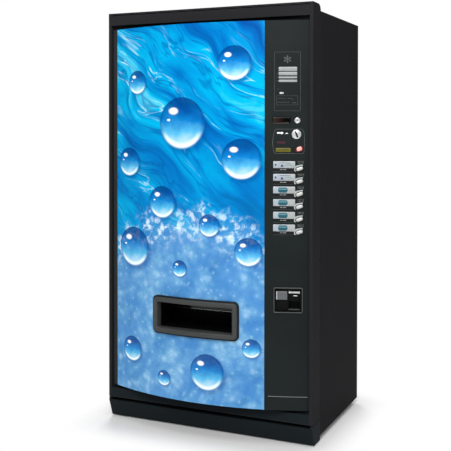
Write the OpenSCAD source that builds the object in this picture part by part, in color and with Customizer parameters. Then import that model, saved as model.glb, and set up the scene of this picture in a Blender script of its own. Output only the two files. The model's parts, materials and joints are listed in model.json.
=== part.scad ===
// Free-standing cold-drink vending machine: a sheet-steel cabinet with an insulated tank,
// can columns and a cooling deck, closed by a hinged door with a convex front.
// Millimetres. X runs to the right, Y to the back, Z up. The origin is under the middle of the machine.

/* [Cabinet] */
// Width of cabinet and door
machine_w = 970; // [930:5:1020]
// Height of the door top above the floor
machine_h = 1830; // [1800:5:1900]
// Depth of the cabinet behind the door gap
cabinet_d = 567; // [550:1:620]
// How far the door stands above the cabinet top
top_step = 28; // [20:1:34]
// Height of the cabinet underside above the floor
cabinet_lift = 24; // [20:1:34]
// Thickness of the cabinet sheet
sheet = 1.5; // [1:0.1:2]
// Width of the folded front edge of the cabinet
front_fold = 22; // [18:1:24]

/* [Door] */
// Depth of the door from its front rim to its rear face
door_t = 100; // [92:1:110]
// Gap between door and cabinet
door_gap = 4; // [4:0.5:8]
// Thickness of the door sheet
door_sheet = 2; // [1.5:0.1:2.4]
// Width of the rim at both sides of the door front
rim_w = 13; // [10:1:16]
// Height of the rim above the cap
rim_top = 8; // [6:1:12]
// Radius of the upper rear corner of the door sides
corner_r = 28; // [15:1:35]
// Width of the folded rear edge of the door frame
rear_fold = 20; // [18:1:24]
// Distance of the hinge axis from the outer side
hinge_in = 15; // [14:0.5:16]
// Distance of the hinge axis from the door's rear face
hinge_back = 40; // [36:1:46]
// Diameter of the hinge pins
hinge_pin_d = 12; // [8:0.5:14]
// Height of the kick plate
kick_h = 80; // [74:1:90]
// How far the foot of the kick plate leans back
kick_lean = 28; // [10:1:40]
// Gap between kick plate and door
door_foot_gap = 15; // [13:0.5:20]
// Height of the apron under the front panels
apron_h = 40; // [30:1:50]
// Height of the cap over the front panels
cap_h = 43; // [34:1:50]

/* [Front panels] */
// Rise of the convex front over its full width
bulge = 100; // [85:1:112]
// How far the side ends of the front lie behind the rim
ends_inset = 18; // [14:1:22]
// Thickness of the front panels
panel_t = 4; // [3:0.5:5]
// Shadow gap between front panels and apron
foot_shadow = 13; // [8:1:20]
// Shadow gap between front panels and cap
cap_shadow = 20; // [12:1:26]
// Width of the strip on the hinge side
strip_w = 25; // [18:1:32]
// Width of the control column
column_w = 178; // [172:1:186]

/* [Controls] */
// Height of the door lock above the floor
lock_z = 1345; // [1338:1:1360]
// Diameter of the lock face
lock_d = 23; // [20:0.5:25]
// Width of the display window
display_w = 72; // [60:1:74]
// Height of the display window
display_h = 22; // [18:1:28]
// Height of the coin slot above the floor
slot_z = 1289; // [1284:1:1294]
// Diameter of the coin slot disc
slot_d = 38; // [34:0.5:40]
// Width of the coin slot
slot_w = 3; // [2.6:0.1:3.4]
// Lean of the coin slot from upright
slot_lean = 21; // [0:1:45]
// Height of the coin return button above the floor
return_z = 1228; // [1220:1:1234]
// Width of the coin return button
return_w = 34; // [30:0.5:36]
// Height of the coin return button
return_h = 23; // [18:0.5:24]
// Height of the upper selection button above the floor
row_z = 1147; // [1130:1:1160]
// Pitch of the selection rows
row_pitch = 52; // [44:1:52]
// Width of a selection button
button_w = 30; // [26:0.5:31]
// Height of a selection button
button_h = 15; // [13:0.5:18]
// Tilt of the oval buttons
button_tilt = 18; // [10:1:20]
// Width of the pale surround that hugs a selection button
halo_w = 6; // [4:0.5:7]
// Width of a label window
label_w = 90; // [80:1:92]
// Height of a label window
label_h = 28; // [22:1:30]
// Middle height of the coin cup above the floor
cup_z = 606; // [590:1:630]
// Width of the coin cup frame
cup_w = 119; // [110:1:122]
// Height of the coin cup frame
cup_h = 104; // [96:1:112]

/* [Delivery port] */
// Sideways place of the delivery port
port_x = -14; // [-40:1:10]
// Middle height of the delivery port above the floor
port_z = 510; // [506:1:520]
// Width of the delivery opening
port_w = 350; // [320:1:360]
// Height of the delivery opening
port_h = 110; // [100:1:114]
// Width of the bezel border
bezel_w = 27; // [22:1:32]
// How far the bezel stands proud of the front
bezel_proud = 20; // [14:1:24]
// Outer corner radius of the bezel
bezel_r = 22; // [14:1:26]
// Corner radius of the delivery opening
port_r = 5; // [3:1:10]

/* [Cold tank] */
// Thickness of the tank insulation
insulation = 42; // [36:1:46]
// Height of the tank underside above the floor
deck_z = 430; // [420:1:434]
// Diameter of a drink can
can_d = 66; // [58:0.5:66]
// Diameter of a dispensing rotor
rotor_d = 118; // [112:1:122]
// Diameter of a rotor shaft
shaft_d = 10; // [8:0.5:10]
// Height of the rotor shafts above the floor
rotor_z = 700; // [696:1:712]
// Depth of the loading space in front of the can columns
load_d = 46; // [40:1:60]
// Thickness of the column walls
wall_t = 1.5; // [1.2:0.1:2]

/* [Cooling deck] */
// Diameter of the compressor pot
pot_d = 170; // [150:1:180]
// Height of the compressor pot
pot_h = 190; // [170:1:210]
// Diameter of the condenser fan
fan_d = 240; // [200:1:250]
// Diameter of the evaporator fan
cold_fan_d = 84; // [76:1:88]
// Diameter of the foot discs
foot_d = 50; // [36:1:56]

/* [Hidden] */
$fn = 64;

// Fits and small stock sizes
fit = 0.05;
slip = 0.3;
loose = 1;
plate_t = 3;
pin_gap = 0.2;
row_count = 6;
lane_count = 6;

// Heights of the door and its front panels
door_z0 = kick_h + door_foot_gap;
door_z1 = machine_h;
apron_z0 = door_z0 + door_sheet;
apron_z1 = apron_z0 + apron_h;
panel_z0 = apron_z1 + foot_shadow;
cap_groove = 3;
cap_z1 = door_z1 - rim_top - cap_groove;
cap_z0 = cap_z1 - cap_h;
panel_z1 = cap_z0 - cap_shadow;

// The convex front is one arc across the door
half_w = machine_w / 2;
rim_slip = 2;
panel_half = half_w - rim_w - rim_slip;
arc_r = (panel_half * panel_half + bulge * bulge) / (2 * bulge);
arc_mid_y = ends_inset - bulge + arc_r;
arc_fn = 1024;
function arc_y(x) = arc_mid_y - sqrt(arc_r * arc_r - x * x);
function arc_turn(x) = asin(x / arc_r);

// Panel joints from left to right
panel_joint = 1;
strip_x1 = -panel_half + strip_w;
column_x0 = panel_half - column_w;
column_mid = panel_half - column_w / 2;
print_x0 = strip_x1 + panel_joint;
print_x1 = column_x0 - panel_joint;

// Places of the controls across the column
display_x = column_mid - 22;
display_z = lock_z + 4;
lock_x = column_mid + 38.5;
slot_x = column_mid + 35;
return_x = column_mid + 46;
button_x = column_mid + 47;
label_x = column_mid - 12;
label_rise = 17;
cup_x = column_mid + 4.5;
function row_height(i) = row_z - i * row_pitch;
press = 3;
flange_lip = 2;
stop_y = panel_t + 1 + slip;
stop_t = 2;
post_y = stop_y + stop_t + press + 2;

// Depths, measured from the front rim
front_y = arc_y(0) - bezel_proud;
cabinet_y0 = door_t + door_gap;
cabinet_y1 = cabinet_y0 + cabinet_d;
cabinet_z1 = machine_h - top_step;
rim_y = -(front_y + cabinet_y1) / 2;

// Hinge axis and door inside
hinge_x = hinge_in - half_w;
hinge_y = door_t - hinge_back;
hinge_t = 6;
hinge_arm = 26;
hinge_play = 3;
gusset_t = 6;
cover_t = 38;
cover_y0 = door_t - cover_t;
cover_half = half_w - door_sheet - rear_fold;
cover_z0 = door_z0 + rear_fold;
cover_z1 = cabinet_z1 - 8;
gasket_w = 14;
gasket_in = 2.5;

// Latch: a pin on the lock cam lifts the bar by a slotted tab, and its hooks rise behind fixed pins
cam_r = 18;
cam_rise = 2 * cam_r * sin(45);
cam_y = 40;
tab_gap = 2;
bar_x = half_w - 17;
bar_t = 3;
bar_y = hinge_y + 2;
bar_d = 12;
hook_up = 155;
hook_down = 645;
hook_z = [lock_z + hook_up, lock_z - hook_down];
hook_arm = 8;
hook_tip = 6;
hook_rise = hook_arm + cam_rise;
keeper_pin_d = 8;
keeper_gap = 2;
keeper_y = bar_y + bar_d + 2 * keeper_gap + keeper_pin_d / 2;
hook_y = keeper_y + keeper_pin_d / 2 + keeper_gap + hook_tip;
keeper_rise = hook_rise + keeper_gap + keeper_pin_d / 2;
keeper_cheek = 4;
keeper_h = 20;
keeper_foot_w = 16;
keeper_foot_h = 44;
keeper_x1 = half_w - door_sheet - 3;

// Delivery port
bezel_out_w = port_w + 2 * bezel_w;
bezel_out_h = port_h + 2 * bezel_w;
throat_y = arc_y(abs(port_x) + port_w / 2) + 14;
hopper_side = 6;
flap_pin_d = 6;
flap_t = 3;
mouth_z0 = port_z + 8;
mouth_z1 = port_z + 122;
hopper_t = 3;
flap_y = door_t - hopper_t - 9;
flap_z = mouth_z1 - 5;
flap_drop = flap_z - mouth_z0 + 6;

// Tank, can columns and rotors
tank_x = half_w - sheet - insulation;
tank_y1 = cabinet_y1 - sheet - insulation;
tank_z0 = deck_z + insulation;
tank_z1 = cabinet_z1 - sheet - insulation;
lane_side = 20;
lane_pitch = 2 * (tank_x - lane_side) / lane_count;
function lane_x(i) = (i - (lane_count - 1) / 2) * lane_pitch;
motor_d = 34;
motor_gap = 10.5;
lane_y0 = cabinet_y0 + load_d;
lane_y1 = tank_y1 - motor_gap - motor_d - plate_t;
column_d = lane_y1 - lane_y0;
lane_z1 = tank_z1 - 70;
cradle_z0 = rotor_z - 70;
cradle_h = 150;
rail_h = 30;
rotor_end = 4;
pocket_r = can_d / 2 + 2;
pocket_off = shaft_d / 2 + 4 + pocket_r;
seat_depth = 8;
chute_y0 = cabinet_y0 + 8;
chute_y1 = lane_y1 + 20;
chute_z0 = port_z + 18;
chute_z1 = cradle_z0 - 14;
chute_turn = atan2(chute_z1 - chute_z0, chute_y1 - chute_y0);
chute_t = 2;
chute_wall = 40;

// Cooling parts
cold_w = 420;
cold_x = -90;
cold_d = 150;
cold_h = 84;
cold_y1 = tank_y1 - 12;
cold_fan_y = cold_y1 - cold_d - 26;
cold_fan_z = tank_z0 + 10 + cold_h / 2;
base_z1 = cabinet_lift + 3;
condenser_w = 420;
condenser_side = 85;
condenser_x = condenser_side + condenser_w / 2 - half_w;
condenser_d = 44;
condenser_y0 = cabinet_y0 + 40;
condenser_z0 = base_z1 + 40;
condenser_h = 270;
fan_y = condenser_y0 + condenser_d + 40;
fan_z = condenser_z0 + condenser_h / 2;
pot_side = 295;
pot_x = half_w - pot_side;
pot_y = cabinet_y0 + 300;
pot_z0 = base_z1 + 30;
pipe_d = 8;
pipe_bend = 16;
foot_inset_x = 60;
foot_inset_y = 50;
inlet_w = 50;
inlet_h = 30;
inlet_flange = 6;
inlet_gap = 14;
rear_margin = 15;
inlet_zone = inlet_w + 2 * inlet_flange + 2 * inlet_gap + rear_margin;
grille_w = machine_w - 2 * inlet_zone;
grille_h = 300;
grille_rise = 40;
grille_z0 = base_z1 + grille_rise;
inlet_x = grille_w / 2 + inlet_gap + inlet_flange + inlet_w / 2;
inlet_z = grille_z0 + inlet_w;

// Colours
paint = [0.16, 0.17, 0.17];
rim_grey = [0.21, 0.22, 0.22];
black = [0.05, 0.05, 0.06];
print_blue = [0.15, 0.5, 0.8];
column_grey = [0.16, 0.18, 0.18];
zinc = [0.7, 0.71, 0.72];
chrome = [0.8, 0.81, 0.83];
white = [0.9, 0.91, 0.92];
ice_plastic = [0.85, 0.88, 0.9];
copper = [0.72, 0.42, 0.25];
board_green = [0.1, 0.35, 0.2];
rubber = [0.1, 0.1, 0.1];
lamp_white = [0.95, 0.96, 0.98];
lens_black = [0.08, 0.06, 0.06];
return_red = [0.85, 0.25, 0.2];

// Shared shapes
module at_rim() {
    translate([0, rim_y, 0]) children();
}

// A box given by its two corners
module span(a, b) {
    translate(a) cube(b - a);
}

// A place on the convex front: local -Y points out of the machine
module on_front(x, z) {
    translate([x, arc_y(x), z]) rotate([0, 0, arc_turn(x)]) children();
}

// Turns an oval control in its place on the front
module tilted() {
    rotate([0, -button_tilt, 0]) children();
}

// A cylinder along +Y from y
module rod_y(d, y, length) {
    translate([0, y + length, 0]) rotate([90, 0, 0]) cylinder(d = d, h = length);
}

// A cylinder along +X from x
module rod_x(d, x, length) {
    translate([x, 0, 0]) rotate([0, 90, 0]) cylinder(d = d, h = length);
}

// An outline in X and Z, drawn out along +Y from y
module out_y(y, length) {
    translate([0, y + length, 0]) rotate([90, 0, 0]) linear_extrude(length) children();
}

// An outline in Y and Z, drawn out along +X from x
module out_x(x, length) {
    translate([x, 0, 0]) rotate([90, 0, 90]) linear_extrude(length) children();
}

// A rectangle about the origin with round corners
module round_rect(w, h, r) {
    square([w - 2 * r, h], center = true);
    square([w, h - 2 * r], center = true);
    for (x = [-1, 1], z = [-1, 1]) translate([x * (w / 2 - r), z * (h / 2 - r)]) circle(r);
}

// An oval with straight sides
module stadium(w, h) {
    square([w - h, h], center = true);
    for (side = [-1, 1]) translate([side * (w - h) / 2, 0]) circle(d = h);
}

// The band between two distances outside the front arc, between two heights
module arc_band(inner, outer, z0, z1) {
    translate([0, arc_mid_y, z0]) difference() {
        cylinder(r = arc_r + outer, h = z1 - z0, $fn = arc_fn);
        translate([0, 0, -1]) cylinder(r = arc_r + inner, h = z1 - z0 + 2, $fn = arc_fn);
    }
}

// A front panel from x0 to x1, with folds along its upper and lower edges
fold_y = ends_inset + 8;
module front_panel(x0, x1) {
    intersection() {
        arc_band(-panel_t, 0, panel_z0, panel_z1);
        span([x0, front_y - 1, panel_z0], [x1, fold_y, panel_z1]);
    }
    for (z = [panel_z0, panel_z1 - panel_t]) intersection() {
        translate([0, arc_mid_y, z]) cylinder(r = arc_r - panel_t / 2, h = panel_t, $fn = arc_fn);
        span([x0, front_y - 1, z], [x1, fold_y, z + panel_t]);
    }
}

// What is left of a piece outside the front arc, so that it seats on the panels
module seat_on_front() {
    difference() {
        children();
        translate([0, arc_mid_y, 0]) cylinder(r = arc_r, h = machine_h, $fn = arc_fn);
    }
}

// A tube through points with square corners, each turned by a quarter-ring elbow
module pipe_run(points, d, bend) {
    last = len(points) - 1;
    for (i = [0 : last - 1]) {
        along = (points[i + 1] - points[i]) / norm(points[i + 1] - points[i]);
        start = points[i] + (i > 0 ? bend : 0) * along;
        length = norm(points[i + 1] - start) - (i + 1 < last ? bend : 0);
        translate(start) rotate([0, acos(along[2]), atan2(along[1], along[0])]) cylinder(d = d, h = length);
    }
    for (i = [1 : last - 1]) {
        u = (points[i] - points[i - 1]) / norm(points[i] - points[i - 1]);
        v = (points[i + 1] - points[i]) / norm(points[i + 1] - points[i]);
        w = cross(u, v);
        o = points[i] + bend * (v - u);
        multmatrix([[-v[0], u[0], w[0], o[0]], [-v[1], u[1], w[1], o[1]], [-v[2], u[2], w[2], o[2]]])
            rotate_extrude(angle = 90) translate([bend, 0]) circle(d = d);
    }
}

// An axial fan about +Y, with its hub on a bore
module axial_fan(d, hub_d, depth, blades) {
    difference() {
        union() {
            rod_y(hub_d, 0, depth);
            intersection() {
                for (i = [0 : blades - 1]) rotate([0, i * 360 / blades, 0])
                    translate([0, depth / 2, 0]) rotate([0, 0, 32])
                        span([-depth * 0.8, -1, hub_d / 2 - 2], [depth * 0.8, 1, d / 2 + 5]);
                rod_y(d, 0, depth);
            }
        }
        rod_y(shaft_d + 2 * fit, -1, depth + 2);
    }
}

// A block of thin fins threaded on tubes, on -X to +X
module fin_block(w, d, h, fins, fin_t, rows, tube) {
    for (i = [0 : fins - 1]) translate([-w / 2 + i * (w - fin_t) / (fins - 1), 0, 0]) cube([fin_t, d, h]);
    for (j = [0 : rows - 1]) translate([0, d / 2, (j + 0.5) * h / rows]) rod_x(tube, -w / 2 - 12, w + 24);
}

// The two places of the latch keepers, at the middle of their pins
module at_keepers() {
    for (z = hook_z) translate([0, 0, z + keeper_rise]) children();
}

module cabinet_shell() {
    color(paint) at_rim() difference() {
        span([-half_w, cabinet_y0, cabinet_lift], [half_w, cabinet_y1, cabinet_z1]);
        span([sheet - half_w, cabinet_y0 + sheet, cabinet_lift - 1],
            [half_w - sheet, cabinet_y1 - sheet, cabinet_z1 - sheet]);
        span([front_fold - half_w, cabinet_y0 - 1, cabinet_lift - 1],
            [half_w - front_fold, cabinet_y0 + sheet + 1, cabinet_z1 - front_fold]);
        span([12 - grille_w / 2, cabinet_y1 - sheet - 1, grille_z0 + 12],
            [grille_w / 2 - 12, cabinet_y1 + 1, grille_z0 + grille_h - 12]);
        translate([inlet_x, 0, inlet_z]) span([-inlet_w / 2, cabinet_y1 - sheet - 1, -inlet_h / 2],
            [inlet_w / 2, cabinet_y1 + 1, inlet_h / 2]);
        at_keepers() span([keeper_x1 - keeper_cheek - loose, cabinet_y0 - 1, -keeper_h / 2 - loose],
            [keeper_x1 + loose, cabinet_y0 + sheet + 1, keeper_h / 2 + loose]);
    }
}

suction_x = pot_x + 30;
suction_y = cold_y1 - cold_d / 2;

module insulated_tank() {
    color(white) at_rim() difference() {
        span([sheet - half_w, cabinet_y0 + sheet, deck_z],
            [half_w - sheet, cabinet_y1 - sheet, cabinet_z1 - sheet]);
        span([-tank_x, cabinet_y0, tank_z0], [tank_x, tank_y1, tank_z1]);
        at_keepers() span([keeper_x1 - keeper_foot_w - loose, cabinet_y0, -keeper_foot_h / 2 - loose],
            [half_w, cabinet_y0 + sheet + plate_t, keeper_foot_h / 2 + loose]);
        translate([suction_x, suction_y, deck_z - 1]) cylinder(d = pipe_d + 2 * loose, h = insulation + 2);
    }
}

module latch_keeper() {
    cheek_x = keeper_x1 - keeper_cheek;
    foot_y = cabinet_y0 + sheet;
    color(zinc) at_rim() at_keepers() {
        span([cheek_x, keeper_y, -keeper_h / 2], [keeper_x1, foot_y + plate_t, keeper_h / 2]);
        span([keeper_x1 - keeper_foot_w, foot_y, -keeper_foot_h / 2],
            [keeper_x1, foot_y + plate_t, keeper_foot_h / 2]);
        translate([0, keeper_y, 0]) {
            rod_x(keeper_h, cheek_x, keeper_cheek);
            rod_x(keeper_pin_d, bar_x - keeper_gap, cheek_x - bar_x + 2 * keeper_gap);
        }
    }
}

// The four places of the levelling feet
module at_feet() {
    for (x = [foot_inset_x - half_w, half_w - foot_inset_x],
        y = [cabinet_y0 + foot_inset_y, cabinet_y1 - foot_inset_y])
        translate([x, y, 0]) children();
}

stud_d = 12;
rail_up = 36;

module base_frame() {
    color(paint) at_rim() difference() {
        span([sheet - half_w, cabinet_y0 + sheet, cabinet_lift],
            [half_w - sheet, cabinet_y1 - sheet, base_z1 + rail_up]);
        span([sheet + plate_t - half_w, cabinet_y0 + sheet + plate_t, base_z1],
            [half_w - sheet - plate_t, cabinet_y1 - sheet - plate_t, base_z1 + rail_up + 1]);
        at_feet() cylinder(d = stud_d + 2 * slip, h = base_z1 + rail_up);
        for (i = [0 : 7]) translate([condenser_x + (i - 3.5) * 46, condenser_y0 + condenser_d / 2,
            cabinet_lift])
            span([-9, -70, -1], [9, 70, plate_t + 1]);
    }
}

foot_t = 8;
nut_h = 8;

module levelling_feet() {
    color(zinc) at_rim() at_feet() {
        cylinder(d = foot_d, h = foot_t / 2);
        translate([0, 0, foot_t / 2]) cylinder(d1 = foot_d, d2 = foot_d / 2, h = foot_t / 2);
        cylinder(d = stud_d, h = base_z1 + 14);
        translate([0, 0, cabinet_lift - nut_h]) cylinder(d = 1.9 * stud_d, h = nut_h, $fn = 6);
    }
}

kick_z0 = 5;
kick_fold_y = cabinet_y0 - 4;

module kick_plate() {
    color(paint) at_rim() {
        out_x(-half_w, machine_w) polygon([[0, kick_h], [kick_lean, kick_z0],
            [kick_lean + door_sheet, kick_z0], [door_sheet, kick_h]]);
        span([-half_w, 0, kick_h - door_sheet], [half_w, kick_fold_y, kick_h]);
        for (x = [-half_w, half_w - door_sheet]) out_x(x, door_sheet)
            polygon([[0, kick_h], [cabinet_y0, kick_h], [cabinet_y0, kick_z0], [kick_lean, kick_z0]]);
    }
}

grille_rows = 15;
grille_cols = 4;

module rear_grille() {
    slot_l = (grille_w - 40) / grille_cols - 14;
    slot_pitch = (grille_h - 40) / grille_rows;
    color(paint) at_rim() difference() {
        span([-grille_w / 2, cabinet_y1 - 2 * sheet, grille_z0],
            [grille_w / 2, cabinet_y1 - sheet, grille_z0 + grille_h]);
        for (i = [0 : grille_cols - 1], j = [0 : grille_rows - 1])
            translate([(i - (grille_cols - 1) / 2) * (slot_l + 14), cabinet_y1,
                grille_z0 + 20 + (j + 0.5) * slot_pitch])
                span([-slot_l / 2, -2 * sheet - 1, -slot_pitch / 4], [slot_l / 2, 1, slot_pitch / 4]);
    }
}

module power_inlet() {
    inlet_y1 = cabinet_y1 - sheet;
    color(black) at_rim() translate([inlet_x, 0, inlet_z]) {
        difference() {
            union() {
                span([-inlet_w / 2 - inlet_flange, inlet_y1 - 3, -inlet_h / 2 - inlet_flange],
                    [inlet_w / 2 + inlet_flange, inlet_y1, inlet_h / 2 + inlet_flange]);
                span([-inlet_w / 2, inlet_y1 - 30, -inlet_h / 2], [inlet_w / 2, inlet_y1, inlet_h / 2]);
            }
            span([3 - inlet_w / 2, inlet_y1 - 22, 3 - inlet_h / 2],
                [inlet_w / 2 - 3, inlet_y1 + 1, inlet_h / 2 - 3]);
        }
        for (i = [-1 : 1]) span([i * 10 - 1, inlet_y1 - 24, -3], [i * 10 + 1, inlet_y1 - 8, 3]);
    }
}

module column_walls() {
    color(ice_plastic) at_rim() {
        for (i = [0 : lane_count]) span([lane_x(i) - lane_pitch / 2 - wall_t / 2, lane_y0, cradle_z0],
            [lane_x(i) - lane_pitch / 2 + wall_t / 2, lane_y1, lane_z1]);
        for (y = [lane_y0, lane_y1 - rail_h]) {
            span([-tank_x, y, lane_z1], [tank_x, y + rail_h, lane_z1 + wall_t]);
            span([-tank_x, y, lane_z1], [tank_x, y + wall_t, lane_z1 + rail_h]);
        }
    }
}

module rotor_cradle() {
    color(zinc) at_rim() for (y = [lane_y0 - plate_t, lane_y1]) difference() {
        span([-tank_x, y, cradle_z0], [tank_x, y + plate_t, cradle_z0 + cradle_h]);
        for (i = [0 : lane_count - 1]) translate([lane_x(i), 0, rotor_z])
            rod_y(shaft_d + 2 * fit, y - 1, plate_t + 2);
    }
}

// One drum: a pocket between end discs takes a can from the column and drops it when turned over
module dispense_rotor(i) {
    drum_l = column_d - 2 * rotor_end;
    disc_t = 6;
    color(ice_plastic) at_rim() translate([lane_x(i), 0, rotor_z]) {
        difference() {
            rod_y(rotor_d, lane_y0 + rotor_end, drum_l);
            translate([0, 0, pocket_off])
                rod_y(2 * pocket_r, lane_y0 + rotor_end + disc_t, drum_l - 2 * disc_t);
            for (side = [-1, 1]) rotate([0, side * 130, 0]) translate([0, 0, rotor_d * 0.32])
                rod_y(rotor_d * 0.2, lane_y0, column_d);
        }
        rod_y(shaft_d, lane_y0 - plate_t, column_d + 2 * plate_t + seat_depth);
    }
}

motor_w = 56;
motor_h = 70;

module rotor_motors() {
    color(zinc) at_rim() for (i = [0 : lane_count - 1])
        translate([lane_x(i), lane_y1 + plate_t, rotor_z]) difference() {
        union() {
            span([-motor_w / 2, 0, -motor_h / 2], [motor_w / 2, motor_d / 2, motor_h / 2]);
            translate([0, 0, 10]) rod_y(motor_w * 0.7, 0, motor_d);
        }
        rod_y(shaft_d + 2 * fit, -1, seat_depth + 2);
    }
}

// A sheet funnel under the rotors, sloping down to the port in the door
module delivery_chute() {
    run = norm([chute_y1 - chute_y0, chute_z1 - chute_z0]);
    bend = run * 0.55;
    mouth = port_w / 2 - 8;
    wall_in = 3;
    color(zinc) at_rim() {
        translate([0, chute_y0, chute_z0]) rotate([chute_turn, 0, 0])
            linear_extrude(chute_t) polygon([[port_x - mouth, 0], [port_x + mouth, 0], [tank_x, bend],
                [tank_x, run], [-tank_x, run], [-tank_x, bend]]);
        intersection() {
            translate([0, chute_y0, chute_z0]) rotate([chute_turn, 0, 0])
                for (side = [-1, 1]) translate([0, 0, chute_t / 2]) linear_extrude(chute_wall)
                    polygon([[port_x + side * (mouth - 1), 1], [side * (tank_x - 2), bend],
                        [side * (tank_x - 2 - wall_in), bend], [port_x + side * (mouth - 1 - wall_in), 1]]);
            span([-half_w, 0, 0], [half_w, cabinet_y1, cradle_z0 - 2]);
        }
        span([port_x - mouth + 20, chute_y0 + 10, tank_z0],
            [port_x + mouth - 20, chute_y0 + 12, chute_z0 + 3]);
    }
}

module evaporator() {
    color(zinc) at_rim() translate([cold_x, cold_y1 - cold_d, tank_z0]) {
        translate([0, 0, 10]) fin_block(cold_w, cold_d, cold_h, 24, 1, 3, pipe_d + 1);
        for (side = [-1, 1]) translate([side * (cold_w / 2 + 5), 0, 0])
            span([-1, 0, 0], [1, cold_d, cold_h + 10]);
    }
}

// A fan motor with its shaft, behind the fan or before it
module fan_motor(d, length, shaft_l) {
    rod_y(d, 0, length);
    rod_y(d * 0.5, -4, 5);
    rod_y(shaft_d, -4 - shaft_l, shaft_l + 5);
}

cold_fan_depth = 18;

module evaporator_shroud() {
    shroud_y = cold_y1 - cold_d - 6;
    motor_l = 30;
    color(zinc) at_rim() translate([cold_x, 0, tank_z0]) {
        difference() {
            span([-cold_w / 2, shroud_y, 0], [cold_w / 2, shroud_y + 2, cold_h + 10]);
            translate([0, 0, cold_fan_z - tank_z0]) rod_y(cold_fan_d + 6, shroud_y - 1, 4);
        }
        span([-14, cold_fan_y - 2 - motor_l, 0], [14, shroud_y + 1, 2]);
        span([-10, cold_fan_y - 2 - motor_l, 0], [10, cold_fan_y - 8, cold_fan_z - tank_z0]);
        translate([0, cold_fan_y - 6, cold_fan_z - tank_z0]) rotate([0, 0, 180])
            fan_motor(36, motor_l - 4, cold_fan_depth);
    }
}

module evaporator_fan() {
    color(black) at_rim() translate([cold_x, cold_fan_y, cold_fan_z])
        axial_fan(cold_fan_d, 30, cold_fan_depth, 5);
}

stub_h = 14;

// A welded pot with domed ends on rubber-footed legs
module compressor() {
    leg = pot_d * 0.42;
    color(black) at_rim() translate([pot_x, pot_y, 0]) {
        translate([0, 0, pot_z0]) {
            intersection() {
                cylinder(d = pot_d, h = pot_h);
                translate([0, 0, pot_h / 2]) sphere(r = pot_h * 0.56);
            }
            translate([0, 0, pot_h * 0.55]) cylinder(d = pot_d + 8, h = 5);
            span([pot_d / 2 - 12, -28, 50], [pot_d / 2 + 30, 28, 120]);
            for (x = [-30, 30]) translate([x, 0, pot_h - 20]) cylinder(d = pipe_d + 2, h = 20 + stub_h);
            span([-leg - 16, -leg - 16, 0], [leg + 16, leg + 16, 4]);
        }
        for (x = [-leg, leg], y = [-leg, leg]) translate([x, y, base_z1])
            cylinder(d = 26, h = pot_z0 - base_z1 + 1);
    }
}

condenser_rows = 6;

module condenser() {
    color(zinc) at_rim() translate([condenser_x, condenser_y0, 0]) {
        translate([0, 0, condenser_z0]) fin_block(condenser_w, condenser_d, condenser_h, 30, 1,
            condenser_rows, pipe_d + 1);
        for (side = [-1, 1]) translate([side * (condenser_w / 2 + 5), 0, 0])
            span([-1, 0, base_z1], [1, condenser_d, condenser_z0 + condenser_h]);
    }
}

fan_depth = 30;

module condenser_shroud() {
    shroud_y = condenser_y0 + condenser_d;
    color(black) at_rim() {
        difference() {
            span([condenser_x - condenser_w / 2, shroud_y, base_z1],
                [condenser_x + condenser_w / 2, fan_y + 4, condenser_z0 + condenser_h]);
            span([condenser_x - condenser_w / 2 + 2, shroud_y - 1, base_z1 + 2],
                [condenser_x + condenser_w / 2 - 2, fan_y, condenser_z0 + condenser_h - 2]);
            translate([condenser_x, 0, fan_z]) rod_y(fan_d + 10, fan_y - 1, 6);
        }
        translate([condenser_x, 0, fan_z]) {
            difference() {
                rod_y(fan_d + 14, fan_y + 2, fan_depth + 8);
                rod_y(fan_d + 10, fan_y, fan_depth + 12);
            }
            for (i = [0 : 2]) rotate([0, i * 120, 0])
                span([-6, fan_y + fan_depth + 6, 20], [6, fan_y + fan_depth + 10, fan_d / 2 + 6]);
            translate([0, fan_y + fan_depth + 6, 0]) fan_motor(76, 56, fan_depth);
        }
    }
}

module condenser_fan() {
    color(zinc) at_rim() translate([condenser_x, fan_y, fan_z]) axial_fan(fan_d, 60, fan_depth, 5);
}

module drip_tray() {
    color(black) at_rim() translate([cold_x, cold_y1 - cold_d / 2, base_z1]) difference() {
        span([-120, -70, 0], [120, 70, 50]);
        span([-118, -68, 2], [118, 68, 51]);
    }
}

module refrigerant_pipes() {
    stub_z = pot_z0 + pot_h + stub_h;
    hot_x = pot_x - 30;
    hot_z = condenser_z0 + (condenser_rows - 0.5) * condenser_h / condenser_rows;
    hot_y = condenser_y0 + condenser_d / 2;
    header_x = condenser_x + condenser_w / 2 + 12;
    cold_end_x = cold_x + cold_w / 2 + 12;
    cold_z = tank_z0 + 10 + cold_h / 6;
    cross_z = deck_z - 50;
    color(copper) at_rim() {
        pipe_run([[hot_x, pot_y, stub_z], [hot_x, pot_y, hot_z], [header_x + 30, pot_y, hot_z],
            [header_x + 30, hot_y, hot_z], [header_x, hot_y, hot_z]], pipe_d, pipe_bend);
        pipe_run([[cold_end_x, suction_y, cold_z], [suction_x, suction_y, cold_z],
            [suction_x, suction_y, cross_z],
            [suction_x, pot_y, cross_z], [suction_x, pot_y, stub_z]], pipe_d, pipe_bend);
    }
}

module power_supply() {
    color(zinc) at_rim() translate([half_w - 150, cabinet_y0 + 90, base_z1]) {
        cube([110, 130, 110]);
        for (i = [0 : 7]) translate([6 + i * 13, 0, 110]) cube([4, 130, 16]);
    }
}

// An arm on the hinge axis with a round end
module hinge_arm_plate(z) {
    translate([hinge_x, hinge_y, z]) {
        cylinder(d = hinge_arm, h = hinge_t);
        span([-hinge_arm / 2, 0, 0], [hinge_arm / 2, cabinet_y0 - hinge_y, hinge_t]);
    }
}

low_plate_z = door_z0 - pin_gap - hinge_t - 6;

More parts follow.
